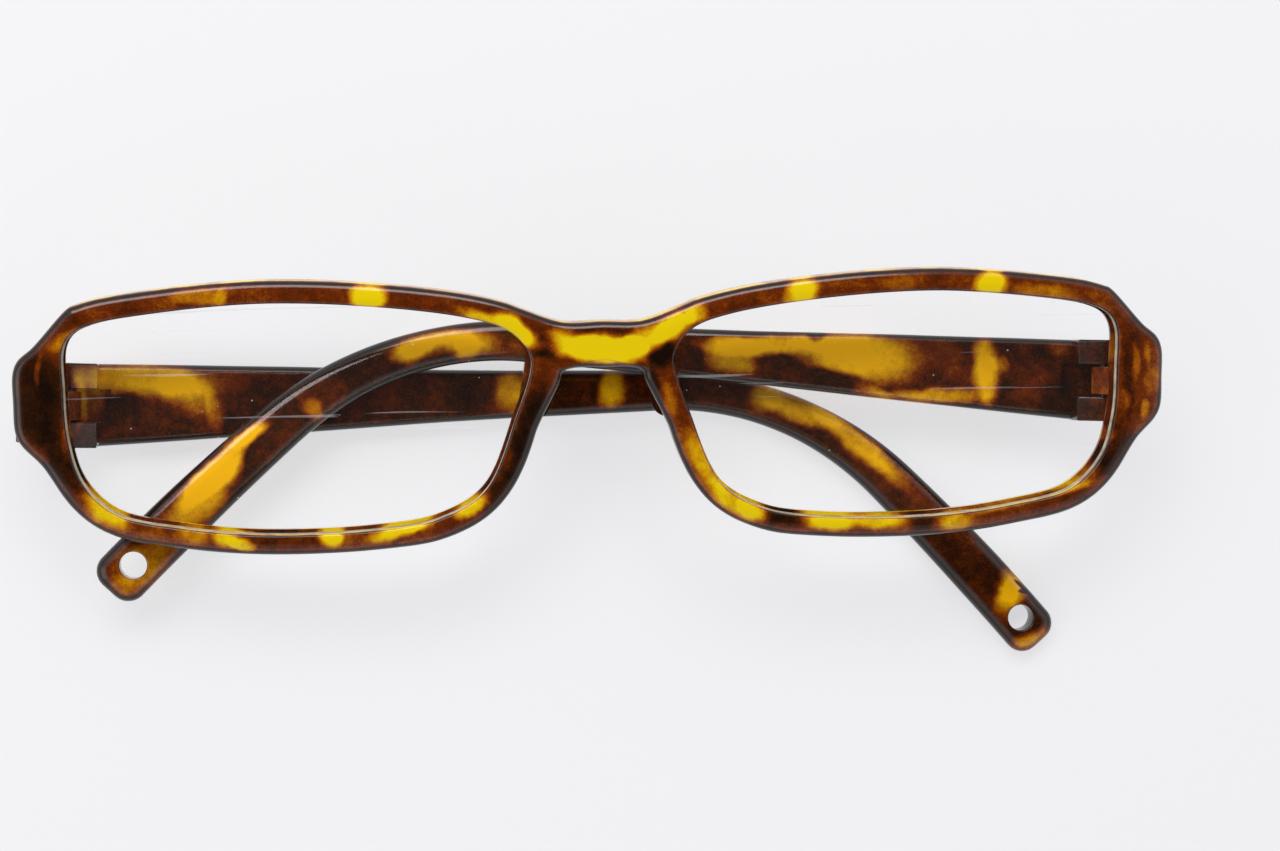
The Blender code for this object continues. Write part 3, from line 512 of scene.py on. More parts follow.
def front_roll():
    """The front's roll: its right hinge stands higher, by one arm, than its left one."""
    apart = RIGHT_PIVOT - LEFT_PIVOT
    return math.asin(apart[2] / np.linalg.norm(apart))


def front_matrix(p):
    """The front on its two hinge axes: tilted at the brow, rolled by the arms' stacking."""
    turn = Matrix.Rotation(-front_roll(), 3, "Y") @ Matrix.Rotation(p.tilt, 3, "X")
    turn = np.array(turn)
    middle = turn @ np.array([0.0, 0.0, -p.hinge_depth])
    return turn, (LEFT_PIVOT + RIGHT_PIVOT) / 2 - middle


def arm_lean():
    """Both arms' turn about the upright axis, which brings y onto the hinge axes."""
    return np.array(Matrix.Rotation(-math.atan2(HINGE_AXIS[0], HINGE_AXIS[1]), 3, "Z"))


def front_shape(p):
    """Wraps flat points by x squared over twice the radius, then sets them on the hinges."""
    turn, place = front_matrix(p)

    def shape(points):
        points = points.copy()
        points[:, 2] -= points[:, 0] ** 2 / (2 * p.wrap_radius)
        return points @ turn.T + place

    return shape


def hinge_shape(p, side):
    """Sets points drawn round a hinge axis, square to the front, on the front's hinge."""
    pivot = RIGHT_PIVOT if side > 0 else LEFT_PIVOT
    turn, _place = front_matrix(p)
    level = turn @ np.array(Matrix.Rotation(-p.tilt, 3, "X"))
    return lambda points: points @ (arm_lean() @ level).T + pivot


def arm_shape(pivot):
    """Turns an arm's points into its lean and sets its hinge axis on the pivot."""
    return lambda points: points @ arm_lean().T + pivot


# ---------------------------------------------------------------- materials

class Nodes:
    """Short calls for building the nodes of a material or a world."""

    def __init__(self, owner, shader="Principled BSDF"):
        self.owner = owner
        owner.use_nodes = True
        self.tree = owner.node_tree
        self.shader = self.tree.nodes[shader]

    def new(self, kind, inputs=None, **settings):
        """A node of a kind, with its settings, and its inputs set or linked."""
        node = self.tree.nodes.new(kind)
        for key, value in settings.items():
            setattr(node, key, value)
        for key, value in (inputs or {}).items():
            self.put(value, node.inputs[key])
        return node

    def put(self, value, socket):
        """Links another node's output to the socket, or sets a constant on it."""
        if isinstance(value, bpy.types.NodeSocket):
            self.tree.links.new(value, socket)
        else:
            socket.default_value = value

    def shade(self, name, value):
        """Sets or links one input of the shader."""
        self.put(value, self.shader.inputs[name])

    def math(self, operation, *values):
        """The result of arithmetic on numbers or outputs."""
        node = self.new("ShaderNodeMath", dict(enumerate(values)), operation=operation)
        return node.outputs[0]

    def vector(self, operation, *values):
        """The result of vector arithmetic: a vector, or a number for a length or dot product."""
        node = self.new("ShaderNodeVectorMath", dict(enumerate(values)), operation=operation)
        return node.outputs["Value"] if operation in ("LENGTH", "DOT_PRODUCT") else node.outputs[0]

    def where(self):
        """The place on the piece, in metres."""
        return self.new("ShaderNodeTexCoord").outputs["Object"]

    def flat_length(self, vector):
        """A vector's length without its height."""
        return self.vector("LENGTH", self.vector("MULTIPLY", vector, (1.0, 1.0, 0.0)))

    def part(self, vector, letter):
        """One of a vector's three numbers, by the letter X, Y or Z."""
        return self.new("ShaderNodeSeparateXYZ", {"Vector": vector}).outputs[letter]

    def mapped(self, vector, kind, **inputs):
        """A vector moved, turned and scaled; the kind TEXTURE undoes what POINT does."""
        inputs["Vector"] = vector
        return self.new("ShaderNodeMapping", inputs, vector_type=kind).outputs[0]

    def spread(self, value, low, high, start=0.0, end=1.0, kind="LINEAR"):
        """A value carried over from the range start to end to the range low to high."""
        return self.new("ShaderNodeMapRange", {
            "Value": value, "From Min": start, "From Max": end, "To Min": low, "To Max": high},
            interpolation_type=kind).outputs[0]

    def noise(self, where, scale, detail=2.0, roughness=0.5, output="Fac"):
        """Soft noise from 0 to 1 with so many waves in a metre, or the same in three colours."""
        node = self.new("ShaderNodeTexNoise", {"Vector": where, "Scale": scale, "Detail": detail,
                                               "Roughness": roughness})
        return node.outputs[output]

    def specks(self, where, scale):
        """Distance, in cells, to the nearest of points scattered one to a cell."""
        node = self.new("ShaderNodeTexVoronoi", {"Vector": where, "Scale": scale})
        return node.outputs["Distance"]

    def ramp(self, value, stops):
        """Colours or grey levels by a value, each given with its place, mixed evenly between."""
        node = self.new("ShaderNodeValToRGB", {"Fac": value})
        elements = node.color_ramp.elements
        while len(elements) < len(stops):
            elements.new(0.5)
        for element, (place, colour_or_grey) in zip(elements, stops):
            element.position = place
            element.color = (*np.broadcast_to(colour_or_grey, 3), 1.0)
        return node.outputs["Color"]

    def bump(self, height, strength, distance):
        """Lets a height roughen the shading of the surface, without moving it."""
        node = self.new("ShaderNodeBump", {"Height": height, "Strength": strength,
                                           "Distance": distance})
        self.shade("Normal", node.outputs["Normal"])


def window_field(n, where, windows):
    """Sum of soft windows: each is strength times a smooth step of its elliptic distance."""
    full, gone = WINDOW_EDGE
    total = 0.0
    for x, y, long, wide, turn, strength in windows:
        local = n.mapped(where, "TEXTURE", Location=(x * MM, y * MM, 0.0),
                         Rotation=(0.0, 0.0, math.radians(turn)), Scale=(long * MM, wide * MM, 1.0))
        reach = n.spread(n.flat_length(local), 0.0, strength, gone, full, "SMOOTHSTEP")
        total = n.math("ADD", total, reach)
    return total


def ejector_mark(n, where, mark):
    """A fine ring on an arm's inner face: 1 where the distance from its middle is its radius."""
    x, y, z = mark
    line = 0.02 * MM
    fade = 0.14 * MM
    distance = n.flat_length(n.vector("SUBTRACT", where, (x, y, 0.0)))
    off = n.math("ABSOLUTE", n.math("SUBTRACT", distance, EJECTOR_RADIUS))
    ring = n.spread(off, 1.0, 0.0, line, fade)
    return n.math("MULTIPLY", ring, n.math("GREATER_THAN", n.part(where, "Z"), z))


def painted_edge_shade_and_light(n, axis, painted_light, cloud):
    """Painted shade and light on the edges: the bevels are painted darker, the upper wall lighter.

    The lean of the surface is its own normal against the face's axis, so it moves with the
    piece; the bevels get painted shade where the lean is middling, and a wall that looks to the
    brow, the side that the lamp lights, gets the given painted light, unevenly as the cloud has it.
    """
    cloud_gain = 3.0
    cloud_start = -0.5
    normal = n.new("ShaderNodeTexCoord").outputs["Normal"]
    lean = n.math("ABSOLUTE", n.vector("DOT_PRODUCT", normal, axis))
    bevel = n.ramp(lean, PAINTED_SHADE_LEAN)
    wall = n.ramp(lean, PAINTED_LIGHT_LEAN)
    # Painted light: a wall that looks to the brow, the side the lamp lights, is made lighter
    painted_lit = n.math("MULTIPLY", wall, n.math("MAXIMUM", n.part(normal, "Y"), 0.0))
    uneven = n.math("MULTIPLY", n.math("MULTIPLY_ADD", cloud, cloud_gain, cloud_start), painted_light)
    # Painted shade: the bevels are made darker
    dark = n.math("MULTIPLY", bevel, PAINTED_BEVEL_SHADE)
    return n.math("SUBTRACT", n.math("MULTIPLY", painted_lit, uneven), dark)


def tortoiseshell(name, windows, ground, clearest, seed=0.0, mark=None, base=None,
                  axis=(0.0, 0.0, 1.0), painted_light=0.0, deepest=-1.0):
    """Glossy tortoiseshell: windows on Object coordinates, wavered by noise, over fine grain.

    The ground is the shade between the windows and clearest the colour of the clear ones. The
    seed moves the noise, the mark is the place of a round mould mark, the base is the place and
    turn of the axes that the windows are given in, if not the world's, the axis points out of
    the face, the painted light is how much lighter a wall towards the brow is painted, and the
    deepest is the lowest strength that dark spots reach. The bevels get painted shade as well.
    """
    smear_scale = 150.0
    pit_scale = 900.0
    pit_radius = 0.055
    pit_depth = 0.6
    mark_depth = 1.5
    finish = bpy.context.scene.glasses_finish
    n = Nodes(bpy.data.materials.new(name))
    where = n.where()
    if base is not None:
        place, turn = base
        where = n.mapped(where, "TEXTURE", Location=place, Rotation=turn)
    shifted = n.vector("ADD", where, (seed, 0.0, 0.0))
    waver = n.vector("SUBTRACT", n.noise(shifted, WAVER_SCALE, output="Color"), (0.5, 0.5, 0.5))
    waver = n.vector("MULTIPLY", waver, WAVER_REACH)
    field = window_field(n, n.vector("ADD", where, waver), windows)
    field = n.math("MULTIPLY_ADD", n.math("MAXIMUM", field, deepest), WINDOW_LIFT, ground)
    clouds = [n.noise(shifted, scale, 3.0, roughness) for scale, roughness, _share in CLOUDS]
    for cloud, (_scale, _roughness, share) in zip(clouds, CLOUDS):
        field = n.math("MULTIPLY_ADD", n.math("SUBTRACT", cloud, 0.5), share, field)
    # Painted shade on the bevels and painted light on the walls that look to the brow
    field = n.math("ADD", field, painted_edge_shade_and_light(n, axis, painted_light, clouds[0]))
    shades = (finish.dark, finish.umber, finish.brown, finish.orange, finish.amber, clearest)
    n.shade("Base Color", n.ramp(field, list(zip(SHADE_STOPS, shades))))
    n.shade("Roughness", n.spread(n.noise(shifted, smear_scale, 3.0), 0.10, 0.20))
    n.shade("IOR", 1.49)
    mould = n.noise(shifted, CLOUDS[0][0])
    pits = n.math("LESS_THAN", n.specks(shifted, pit_scale), pit_radius)
    height = n.math("SUBTRACT", mould, n.math("MULTIPLY", pits, pit_depth))
    if mark is not None:
        ring = n.math("MULTIPLY", ejector_mark(n, where, mark), mark_depth)
        height = n.math("SUBTRACT", height, ring)
    n.bump(height, strength=0.25, distance=0.05 * MM)
    return n.owner


def hinge_plastic():
    """Orange-brown tortoiseshell of the front's hinge blocks and knuckles, shared by both."""
    name = "tortoiseshell_hinge"
    clearest = bpy.context.scene.glasses_finish.gold
    made = bpy.data.materials.get(name)
    return made or tortoiseshell(name, (), GROUND["hinge"], clearest, seed=0.19)


def lens_clear():
    """Clear plastic: nearly see-through, with fine dust and a few hairline scratches."""
    least_seen = 0.003
    marks_seen = 0.35
    dust_radius = 0.07
    hairline_level = 0.735
    hairline_share = 0.25
    n = Nodes(bpy.data.materials.new("clear_lens"))
    where = n.where()
    radius = n.math("MULTIPLY", n.noise(where, 90.0), dust_radius)
    dust = n.math("LESS_THAN", n.specks(where, 420.0), radius)
    drawn_out = n.mapped(where, "POINT", Rotation=(0.0, 0.0, 0.5), Scale=(40.0, 1600.0, 40.0))
    hairlines = n.math("GREATER_THAN", n.noise(drawn_out, 1.0, 1.0), hairline_level)
    marks = n.math("MAXIMUM", dust, n.math("MULTIPLY", hairlines, hairline_share))
    n.shade("Base Color", (0.93, 0.94, 0.95, 1.0))
    n.shade("Alpha", n.math("MULTIPLY_ADD", marks, marks_seen, least_seen))
    n.shade("Roughness", n.spread(n.noise(where, 60.0), 0.03, 0.12))
    n.shade("IOR", 1.5)
    return n.owner


def lens_edge_finish():
    """The ground edge of the lens: pale, dull and faintly streaked."""
    dull_share = 0.62
    pale = bpy.context.scene.glasses_finish.lens_edge
    dull = [c * dull_share for c in pale]
    n = Nodes(bpy.data.materials.new("lens_ground_edge"))
    streak = n.noise(n.where(), 700.0, 3.0)
    n.shade("Base Color", n.ramp(streak, ((0.35, dull), (0.62, pale))))
    n.shade("Roughness", 0.45)
    n.bump(streak, strength=0.2, distance=0.03 * MM)
    return n.owner


def pin_finish():
    """Plain dark brown plastic with a drawn grain along the pin."""
    finish = bpy.context.scene.glasses_finish
    n = Nodes(bpy.data.materials.new("hinge_pin_plastic"))
    drawn_out = n.mapped(n.where(), "POINT", Scale=(1.0, 0.08, 1.0))
    grain = n.noise(drawn_out, 3000.0, 3.0)
    n.shade("Base Color", n.ramp(grain, ((0.35, finish.dark), (0.70, finish.brown))))
    n.shade("Roughness", 0.3)
    n.bump(grain, strength=0.2, distance=0.02 * MM)
    return n.owner


def dressed(piece, material, body):
    """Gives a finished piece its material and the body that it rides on."""
    piece.data.materials.clear()
    piece.data.materials.append(material)
    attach(piece, body)
    return piece


# ---------------------------------------------------------------- the front

def front_rows(p):
    """Points in half the outline, the whole outline, its normals, and the room to round it.

    The room is a share of the radius of the outline's inward bend. One over that radius is how
    far the normals turn along the outline, over the distance run.
    """
    points = 420
    share = 0.8
    most_room = 4.0 * MM
    flattest = 1e-6
    line = resample(half_outline(p), points)
    line[[0, -1], 0] = 0.0
    loop = np.concatenate([line, line[-2:0:-1] * (-1.0, 1.0)])
    normals = outward_normals(loop)
    turn = np.roll(normals, -1, axis=0) - np.roll(normals, 1, axis=0)
    step = np.roll(loop, -1, axis=0) - np.roll(loop, 1, axis=0)
    bend = np.maximum((turn * step).sum(axis=1) / (step * step).sum(axis=1), flattest)
    return len(line), loop, normals, np.minimum(share / bend, most_room)


def eased(values, times=12):
    """A closed row of values evened out with its neighbours."""
    for _ in range(times):
        values = (np.roll(values, 1) + 2 * values + np.roll(values, -1)) / 4
    return values


def build_front(p, lens):
    """The rims and bridge: one outer strip, and a ring of rows through each opening.

    The outer strip carries the edge profile round the outline. Each ring runs from the back
    face's outer edge over the back face, the two lips and the groove to the face, whose
    middle is crowned by four times share times one minus share.
    """
    groove_play = 0.1 * MM
    rear_lip = 0.22 * MM
    rows_across = 13
    gap_points = 24
    half_count, loop, normals, room = front_rows(p)
    face = rounded(p.face_round, 0.85 * p.face_round)
    back = rounded(p.back_round, p.back_round)
    fit = np.minimum(1.0, eased(room) / p.face_round)[:, None]
    fit = np.minimum(fit, np.roll(fit, 1, axis=0))
    rows = [with_z(loop - normals * inset * fit, -depth) for inset, depth in face]
    rows += [with_z(loop - normals * inset * fit, depth - p.thickness)
             for inset, depth in back[::-1]]
    surface = Surface()
    surface.add(rows)

    boundaries = []
    for row in (rows[0], rows[-1]):
        line = row[:half_count, :2]
        gap = np.linspace(line[-1], line[0], gap_points + 2)[1:-1]
        boundaries.append(np.concatenate([line, gap]))
    face_line, back_line = boundaries
    opening = match_to(opening_loop(p), face_line, opening_centre(p))
    out = outward_normals(opening)

    def ring(offset, depth):
        return with_z(opening + out * offset, -depth)

    def across(edge, boundary, share, depth):
        return with_z(edge + (boundary - edge) * share, -depth)

    middle = p.thickness / 2
    half = lens.edge / 2 + groove_play
    floor = lens.bite + groove_play
    lip = rounded(p.lip_round, p.lip_round, 5)
    shares = np.linspace(0.0, 1.0, rows_across)
    face_edge = opening + out * p.lip_round
    back_edge = opening + out * (p.lip_round - rear_lip)
    grid = [across(back_edge, back_line, s, p.thickness) for s in shares[::-1]]
    grid += [ring(inset - rear_lip, p.thickness - depth) for inset, depth in lip[1:]]
    grid += [ring(-rear_lip, middle + half), ring(floor, middle + half),
             ring(floor, middle - half), ring(0.0, middle - half)]
    grid += [ring(inset, depth) for inset, depth in lip[::-1]]
    grid += [across(face_edge, face_line, s, -4 * p.crown * s * (1 - s)) for s in shares[1:]]
    grid = np.array(grid)
    surface.add(grid)
    surface.add(grid * (-1.0, 1.0, 1.0))
    return surface.piece("front_rims", front_shape(p), sharp=SHELL_SHARP)


def lens_outline(p, points=240):
    """The right lens opening with its points closer where it turns, and its normals."""
    loop = opening_loop(p)
    loop = resample(np.concatenate([loop, loop[:1]]), points + 1)[:-1]
    return loop, outward_normals(loop)


def build_lens(p, lens, side, name):
    """A meniscus lens: both faces rise towards the middle with one minus share squared."""
    loop, out = lens_outline(p)
    edge = loop + out * lens.bite
    centre = opening_centre(p)
    shares = np.sin(np.linspace(0.0, math.pi / 2, 15))
    rows = []
    for face in (1.0, -1.0):
        found = [with_z(centre + (edge - centre) * s,
                        face * lens.edge / 2 - p.thickness / 2 + lens.bulge * (1 - s ** 2))
                 for s in shares]
        rows += found if face > 0 else found[::-1]
    surface = Surface()
    surface.add(np.array(rows) * (side, 1.0, 1.0))
    return surface.piece(name, front_shape(p))


def build_lens_edge(p, lens, side, name):
    """The ground edge of a lens: a low slope just inside the lip, wider below than above.

    Its width is the full one times 0.40, less 0.22 where it looks up and plus 0.50 where it
    looks away from the nose.
    """
    tuck = 0.02 * MM
    outer_rise = 0.30 * MM
    inner_rise = 0.03 * MM
    foot = 0.05 * MM
    loop, out = lens_outline(p)
    width = lens.line_width * np.clip(0.40 - 0.22 * out[:, 1] + 0.50 * out[:, 0], 0.10, 1.0)
    lens_face = lens.edge / 2 - p.thickness / 2
    outer = loop + out * tuck
    inner = loop - out * width[:, None]
    rows = [with_z(outer, lens_face + outer_rise), with_z(inner, lens_face + inner_rise),
            with_z(inner, lens_face - foot), with_z(outer, lens_face - foot)]
    surface = Surface()
    surface.add(np.array(rows + rows[:1]) * (side, 1.0, 1.0))
    return surface.piece(name, front_shape(p), sharp=math.radians(30.0))


def build_pad(p, lens, side, name):
    """A nose pad: a stadium whose rows shrink by a power of the cosine to a soft top.

    Its straight wall takes up a share of its height, and the rows climb the rest by the sine.
    """
    points = 96
    wall_share = 0.45
    softness = 0.7
    half = lens.pad_width / 2
    straight = lens.pad_length - lens.pad_width
    turns = np.linspace(0.0, 2 * math.pi, points, endpoint=False)
    spine = np.column_stack([np.zeros(points), np.where(turns < math.pi, 0.0, -straight)])
    ring = np.column_stack([np.cos(turns), np.sin(turns)]) * half
    climb = np.linspace(0.0, math.pi / 2, 12)
    shares = np.cos(climb) ** softness
    heights = lens.pad_height * (wall_share + (1 - wall_share) * np.sin(climb))
    depth = p.thickness + lens.pad_seat
    rows = [with_z(spine, -depth), with_z(spine + ring, -depth)]
    rows += [with_z(spine + ring * s, -depth - h) for s, h in zip(shares, heights)]
    rows = np.array(rows)
    cosine, sine = math.cos(lens.pad_slant), math.sin(lens.pad_slant)
    x = rows[..., 0] * cosine - rows[..., 1] * sine + p.lens_gap / 2 - lens.pad_from_opening
    y = rows[..., 0] * sine + rows[..., 1] * cosine + lens.pad_top - half
    surface = Surface()
    surface.add(np.stack([side * x, y, rows[..., 2]], axis=-1))
    return surface.piece(name, front_shape(p))


# ---------------------------------------------------------------- hinges

def hull_outline(circles, steps=120):
    """Outline round some circles: in each direction, the furthest circle's furthest point."""
    turns = np.linspace(0.0, 2 * math.pi, steps, endpoint=False)
    way = np.column_stack([np.cos(turns), np.sin(turns)])
    circles = np.array(circles)
    furthest = np.argmax(way @ circles[:, :2].T + circles[:, 2], axis=1)
    return circles[furthest, :2] + way * circles[furthest, 2:], way


def add_bar(surface, circles, low, high, side, edge=0.22 * MM):
    """A bar along y whose section is the outline round some circles, its ends rounded."""
    outline, way = hull_outline(circles)
    middle = np.broadcast_to(outline.mean(axis=0), outline.shape)
    ends = rounded(edge, edge, 4)
    sections = [(middle, low)]
    sections += [(outline - way * inset, low + depth) for inset, depth in ends]
    sections += [(outline - way * inset, high - depth) for inset, depth in ends[::-1]]
    sections += [(middle, high)]
    rows = [np.column_stack([side * s[:, 0], np.full(len(s), y), s[:, 1]]) for s, y in sections]
    surface.add(np.array(rows))


def build_hinge_seat(p, arm, side, name):
    """The front's share of a hinge: the block behind the lug and the middle knuckle.

    Points are distances out from the hinge axis and towards the front's face. The block is an
    angle, in behind the lug and back along the outside of the ears.
    """
    sink = 0.45 * MM
    corner = 0.3 * MM
    block_end = 0.7 * MM
    block_start = 0.6 * MM
    root_corner = 0.1 * MM
    wrap = LEFT_PIVOT[0] ** 2 / (2 * p.wrap_radius)
    root = p.hinge_depth - wrap - p.thickness + sink
    outer = arm.outer - corner
    rear = arm.butt_setback + 0.3 * MM + corner
    clear = arm.knuckle_radius + 0.65 * MM
    half = p.lug_height / 2 - block_end
    surface = Surface()
    add_bar(surface, [(clear, rear, corner), (outer, rear, corner), (clear, root, corner),
                      (outer, root, corner)], -half, half, side)
    add_bar(surface, [(block_start, clear, corner), (clear, clear, corner),
                      (block_start, root, corner), (clear, root, corner)], -half, half, side)
    inner = arm.outer - arm.thickness
    half = arm.knuckle_height / 2
    add_bar(surface, [(0.0, 0.0, arm.knuckle_radius), (-0.5 * MM, root, root_corner),
                      (inner, root, root_corner)], -half, half, side, 0.12 * MM)
    return surface.piece(name, hinge_shape(p, side))


def build_ears(arm, side, pivot, name):
    """The two outer knuckles on the inner face of an arm, each with its root."""
    corner = 0.15 * MM
    step = arm.ear_length - corner
    top = 0.2 * MM - corner
    foot = arm.thickness - arm.outer - 0.4 * MM
    circles = [(0.0, 0.0, arm.knuckle_radius), (step, top, corner), (step, foot, corner),
               (corner, foot, corner)]
    start = arm.knuckle_height / 2 + arm.ear_gap
    surface = Surface()
    for low in (start, -start - arm.ear_height):
        add_bar(surface, circles, low, low + arm.ear_height, side)
    return surface.piece(name, arm_shape(pivot))


# ---------------------------------------------------------------- arms

def arm_edges(arm, count=300):
    """Lower and upper edge of an arm, from the butt end to the tip, and the way out of it.

    The middle line's heading is the rise less the bend and tip turns, each growing evenly
    along its stretch; both ends are rounded at their corners by a quarter circle. The points
    lie closer at both ends, where these corners are.
    """
    fine_steps = 2400
    rise_run = 4.0 * MM
    butt_corner = 0.35 * MM
    along = np.linspace(-arm.butt_setback, arm.span, fine_steps)
    bend_end = arm.straight + arm.bend
    bend = np.clip((along - arm.straight) / arm.bend, 0.0, 1.0)
    tip = np.clip((along - bend_end) / (arm.span - bend_end), 0.0, 1.0)
    rise = np.clip(along / rise_run, 0.0, 1.0)
    heading = arm.rise * rise - arm.bend_turn * bend - arm.tip_turn * tip
    step = np.gradient(along)
    middle = np.column_stack([np.cumsum(np.cos(heading) * step), np.cumsum(np.sin(heading) * step)])
    middle -= [np.interp(0.0, along, middle[:, k]) for k in (0, 1)]
    stations, heights = np.array(ARM_HEIGHTS).T * MM
    half = eased_open(np.interp(along, stations, heights) / 2)
    into_tip = np.clip(along - (arm.span - arm.tip_corner), 0.0, arm.tip_corner)
    into_butt = np.clip(butt_corner - (along + arm.butt_setback), 0.0, butt_corner)
    half -= arm.tip_corner - np.sqrt(arm.tip_corner ** 2 - into_tip ** 2)
    half -= butt_corner - np.sqrt(butt_corner ** 2 - into_butt ** 2)
    density = 1.0 + 8.0 * (along < 0.0)
    density += 5.0 * (along > arm.span - 1.2 * arm.tip_corner)
    density += 8.0 * (along > arm.span - 0.12 * arm.tip_corner)
    cost = np.cumsum(density)
    pick = np.interp(np.linspace(cost[0], cost[-1], count), cost, along)
    sideways = np.column_stack([-np.sin(heading), np.cos(heading)]) * half[:, None]
    lower, upper = [np.stack([np.interp(pick, along, edge[:, k]) for k in (0, 1)], axis=1)
                    for edge in (middle - sideways, middle + sideways)]
    return lower, upper


def eased_open(values, width=161):
    """A row of values averaged under a cosine hump, its ends carried on straight."""
    pad = width // 2
    start = values[0] + (values[0] - values[pad:0:-1])
    end = values[-1] + (values[-1] - values[-2:-pad - 2:-1])
    kernel = np.hanning(width)
    return np.convolve(np.concatenate([start, values, end]), kernel / kernel.sum(), "valid")


def frame_line(lower, upper, across):
    """The closed line round a grid between two edges, its ends filled evenly."""
    share = np.linspace(0.0, 1.0, across)[1:-1, None]
    tip = lower[-1] + (upper[-1] - lower[-1]) * share
    butt = upper[0] + (lower[0] - upper[0]) * share
    return np.concatenate([lower, tip, upper[::-1], butt])


def arm_thickness(arm, x, far):
    """An arm's thickness, which falls evenly with x from its hinge to its furthest point."""
    return arm.thickness + (arm.tip_thickness - arm.thickness) * np.clip(x / far, 0, 1)


def build_arm(arm, side, pivot, name):
    """One arm: rounded rows round its outline, and a grid across each face.

    Side +1 is drawn towards +x. The outer face is flat; the inner face thins evenly to the tip,
    and its edges' rounding widens by a smooth step from soft_start over soft_run of the reach.
    """
    across = 11
    soft_start = 0.35
    soft_run = 0.35
    inner_depth = 0.9
    deeper = 0.45
    lower, upper = arm_edges(arm)
    count = len(lower)
    line = frame_line(lower, upper, across)
    normals = outward_normals(line)
    low_way, up_way = normals[:count], normals[count + across - 2:2 * count + across - 2][::-1]
    far = line[:, 0].max()

    def softness(points):
        share = np.clip((points[:, 0] / far - soft_start) / soft_run, 0.0, 1.0)
        return share * share * (3 - 2 * share)

    def sides(inset, softer):
        low_inset = inset * (1 + softer * softness(lower))[:, None]
        up_inset = inset * (1 + softer * softness(upper))[:, None]
        return lower - low_way * low_inset, upper - up_way * up_inset

    rows = []
    for inset, depth in rounded(arm.outer_round, arm.outer_round):
        rows.append(with_z(frame_line(*sides(inset, 0.0), across), depth - arm.outer))
    for inset, depth in rounded(arm.inner_round, inner_depth * arm.inner_round)[::-1]:
        points = frame_line(*sides(inset, arm.inner_soften), across)
        drop = depth * (1 + deeper * arm.inner_soften * softness(points))
        height = arm_thickness(arm, points[:, 0], far) - drop
        rows.append(with_z(points, height - arm.outer))
    surface = Surface()
    surface.add(np.array(rows) * (side, 1.0, 1.0))
    for inset, outer_face in ((arm.outer_round, True), (arm.inner_round, False)):
        low, up = sides(inset, 0.0 if outer_face else arm.inner_soften)
        grid = [low + (up - low) * share for share in np.linspace(0.0, 1.0, across)]
        height = [0.0 if outer_face else arm_thickness(arm, g[:, 0], far) for g in grid]
        face = np.array([with_z(g, h - arm.outer) for g, h in zip(grid, height)])
        surface.add(face * (side, 1.0, 1.0), closed=False)
    made = surface.piece(name, sharp=SHELL_SHARP)
    cut(made, [hole_cutter(arm, side, lower, upper), slot_cutter(arm, side)])
    points = np.empty(len(made.data.vertices) * 3)
    made.data.vertices.foreach_get("co", points)
    points = arm_shape(pivot)(points.reshape(-1, 3))
    made.data.vertices.foreach_set("co", points.ravel())
    made.data.update()
    return made


def hole_cutter(arm, side, lower, upper):
    """A waisted round bar through the tip: its radius grows by a quarter circle at each face."""
    lip = 0.22 * MM
    over = 1.0 * MM
    points = 72
    middle = (lower + upper) / 2
    run = run_along(middle, False)
    at = run[-1] - arm.hole_from_tip
    centre = [np.interp(at, run, middle[:, k]) for k in (0, 1)]
    far = max(lower[:, 0].max(), upper[:, 0].max())
    thick = arm_thickness(arm, centre[0], far)
    turn = np.linspace(0.0, math.pi / 2, 5)
    radii = arm.hole_radius + lip * (1 - np.cos(turn))
    widest = arm.hole_radius + lip
    low = lip - lip * np.sin(turn)
    high = thick - lip + lip * np.sin(turn)
    sections = [(0.0, -over), (widest, -over), *zip(radii[::-1], low[::-1]), *zip(radii, high),
                (widest, thick + over), (0.0, thick + over)]
    turns = np.linspace(0.0, 2 * math.pi, points, endpoint=False)
    circle = np.column_stack([np.cos(turns), np.sin(turns)])
    rows = [with_z(circle * radius + centre, z - arm.outer) for radius, z in sections]
    surface = Surface()
    surface.add(np.array(rows) * (side, 1.0, 1.0))
    return surface.piece("hole_cutter", sharp=math.radians(60.0))


def slot_cutter(arm, side):
    """The bar that sinks a shallow slot between the two ears, open at the butt end."""
    corner = 0.12 * MM
    past_butt = -3.0 * MM
    above = arm.outer - arm.thickness
    floor = arm.thickness - arm.outer - arm.slot_depth + corner
    reach = arm.slot_length - corner
    half = arm.knuckle_height / 2 + arm.ear_gap
    surface = Surface()
    add_bar(surface, [(past_butt, floor, corner), (reach, floor, corner),
                      (past_butt, above, corner), (reach, above, corner)],
            -half, half, side, 0.02 * MM)
    return surface.piece("slot_cutter")


def cut(piece, cutters):
    """Cuts the cutters out of a piece and removes them."""
    for cutter in cutters:
        step = piece.modifiers.new(cutter.name, "BOOLEAN")
        step.operation = "DIFFERENCE"
        step.solver = "MANIFOLD"
        step.object = cutter
    shown = piece.evaluated_get(bpy.context.evaluated_depsgraph_get())
    mesh = bpy.data.meshes.new_from_object(shown)
    piece.modifiers.clear()
    piece.data = mesh
    mesh.shade_smooth()
    mesh.set_sharp_from_angle(angle=SHELL_SHARP)
    for cutter in cutters:
        bpy.data.objects.remove(cutter)


# ---------------------------------------------------------------- table, light and camera

